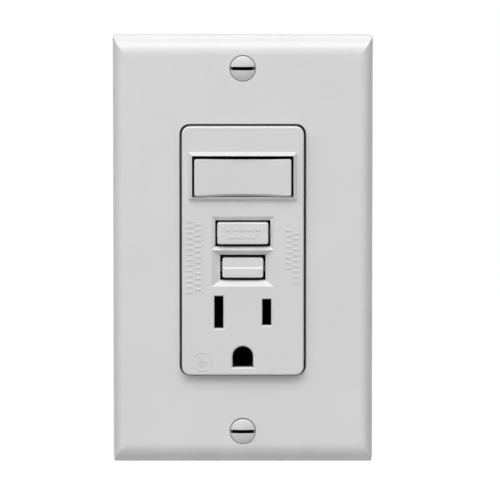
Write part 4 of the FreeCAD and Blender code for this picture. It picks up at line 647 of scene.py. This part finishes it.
def raised_ring(name, x, z, radius, width):
    """A low ring with bevelled rims standing on the cover's face."""
    face, steps, bevel = cover_face(), 48, 0.06 * MM
    inner = radius - width
    section = [(radius, MARK_ROOT), (radius, bevel - RING_RISE), (radius - bevel, -RING_RISE)]
    section += [(inner + bevel, -RING_RISE), (inner, bevel - RING_RISE), (inner, MARK_ROOT)]
    verts = []
    for i in range(steps):
        turn = 2 * math.pi * i / steps
        verts += [(x + r * math.cos(turn), face + depth, z + r * math.sin(turn)) for r, depth in section]
    mesh = new_mesh(name, verts, ring_faces(steps, len(section), closed=True))
    add_piece(name, outward(mesh), "device", slot_of["front_cover"])


def moulded_marks():
    """Plain tick columns beside the buttons, and an earth symbol in a ring beside the ground slot."""
    half_width, height, pitch = 0.8, 0.6, 1.45
    columns = (
        ("ticks_left_outer", -14.1, 8.2, 14),
        ("ticks_left_inner", -11.9, 7.5, 13),
        ("ticks_right_inner", 12.1, 5.9, 8),
        ("ticks_right_outer", 14.1, 5.1, 10),
    )
    for name, x, top, count in columns:
        tops = [top - pitch * i for i in range(count)]
        raised_bars(name, [(x - half_width, x + half_width, z - height, z) for z in tops])
    x, z = -10.8, -29.3
    bars = [(x - 0.2, x + 0.2, z, z + 1.6)]
    for half, drop in ((1.5, 0.0), (1.0, 0.75), (0.5, 1.5)):
        bars.append((x - half, x + half, z - drop - 0.35, z - drop + 0.02))
    raised_bars("earth_symbol", bars)
    raised_ring("earth_ring", x * MM, (z - 0.15) * MM, 2.65 * MM, 0.45 * MM)


squeezed_springs()
plate_screws()
box_screws()
terminal_screws()
ground_screw()
moulded_marks()


# =============================== stage, light and camera ===============================
def stage_floor():
    """A plain pale floor well below the object, which glows far behind it and faintly in front of it."""
    size, level = 60.0, -1.0
    corners = [(-size, -size, level), (size, -size, level), (size, size, level), (-size, size, level)]
    mesh = new_mesh("floor", corners, [(0, 1, 2, 3)])
    floor = bpy.data.objects.new("floor", mesh)
    bpy.context.scene.collection.objects.link(floor)
    s = Shader("floor_paint")
    body = s.mixed(s.spread(s.noise(0.4, 3), 0.0, 1.0), (0.80, 0.80, 0.80), (0.83, 0.83, 0.83))
    s.bsdf.inputs["Emission Color"].default_value = (1.0, 1.0, 1.0, 1.0)
    distance = s.node("ShaderNodeVectorMath")
    distance.operation = "LENGTH"
    s.link(s.place, distance.inputs[0])
    axes = s.node("ShaderNodeSeparateXYZ")
    s.link(s.place, axes.inputs["Vector"])
    glow = s.spread(axes.outputs["Y"], 0.1, 1.0, 2.5, 5.0)
    glow = s.maths("MULTIPLY", glow, s.spread(distance.outputs["Value"], 0.0, 1.0, 2.2, 4.2))
    s.link(glow, s.bsdf.inputs["Emission Strength"])
    mesh.materials.append(s.finish(body, s.spread(s.noise(0.2, 3), 0.75, 0.85)))


def area_light(name, distance, azimuth, elevation, size, watts):
    """A soft rectangular light aimed at the object, and itself unseen."""
    light = bpy.data.lights.new(name, "AREA")
    light.shape = "RECTANGLE"
    light.size, light.size_y = size
    light.energy = watts
    lamp = bpy.data.objects.new(name, light)
    bpy.context.scene.collection.objects.link(lamp)
    lamp.location = from_angles(distance, azimuth, elevation)
    lamp.rotation_euler = (-lamp.location).to_track_quat("-Z", "Y").to_euler()
    lamp.visible_camera = False


def from_angles(distance, azimuth, elevation):
    """A place at a distance from the object. Azimuth 0 is in front of it, and grows towards its right."""
    a, e = math.radians(azimuth), math.radians(elevation)
    level = distance * math.cos(e)
    return (level * math.sin(a), -level * math.cos(a), distance * math.sin(e))


def lights():
    """Five soft lights from the front, a faint one from below and two behind, in a nearly dark room."""
    front = (
        ("overhead", 5, 60, 47.0),
        ("far_left", -60, 35, 27.2),
        ("right", 40, 35, 25.2),
        ("left", -25, 35, 18.1),
        ("high_left", -25, 60, 15.4),
    )
    for name, azimuth, elevation, watts in front:
        area_light(name, 3.2, azimuth, elevation, (1.92, 1.44), watts)
    area_light("low_front", 2.0, 0, -22, (1.2, 0.9), 1.2)
    area_light("back", 2.4, 180, 35, (1.4, 1.0), 7.9)
    area_light("high_back", 2.0, 180, 70, (1.2, 0.6), 7.0)
    world = bpy.data.worlds.new("studio")
    world.use_nodes = True
    world.node_tree.nodes["Background"].inputs["Color"].default_value = (1.0, 1.0, 1.0, 1.0)
    world.node_tree.nodes["Background"].inputs["Strength"].default_value = 0.01
    bpy.context.scene.world = world
    bpy.context.scene.view_settings.view_transform = "Standard"


def camera():
    """Straight on and a little above, from far enough away that the sides stay parallel."""
    distance, elevation = 1.7, 6.5
    data = bpy.data.cameras.new("camera")
    data.sensor_width = 36.0
    data.lens = 36.0 * distance / 0.13275
    data.clip_start, data.clip_end = 0.05, 100.0
    eye = bpy.data.objects.new("camera", data)
    bpy.context.scene.collection.objects.link(eye)
    target = Vector((1.91 * MM, -4.7 * MM, 0.0))
    eye.location = target + Vector(from_angles(distance, 0, elevation))
    eye.rotation_euler = (target - eye.location).to_track_quat("-Z", "Y").to_euler()
    bpy.context.scene.camera = eye


stage_floor()
lights()
camera()
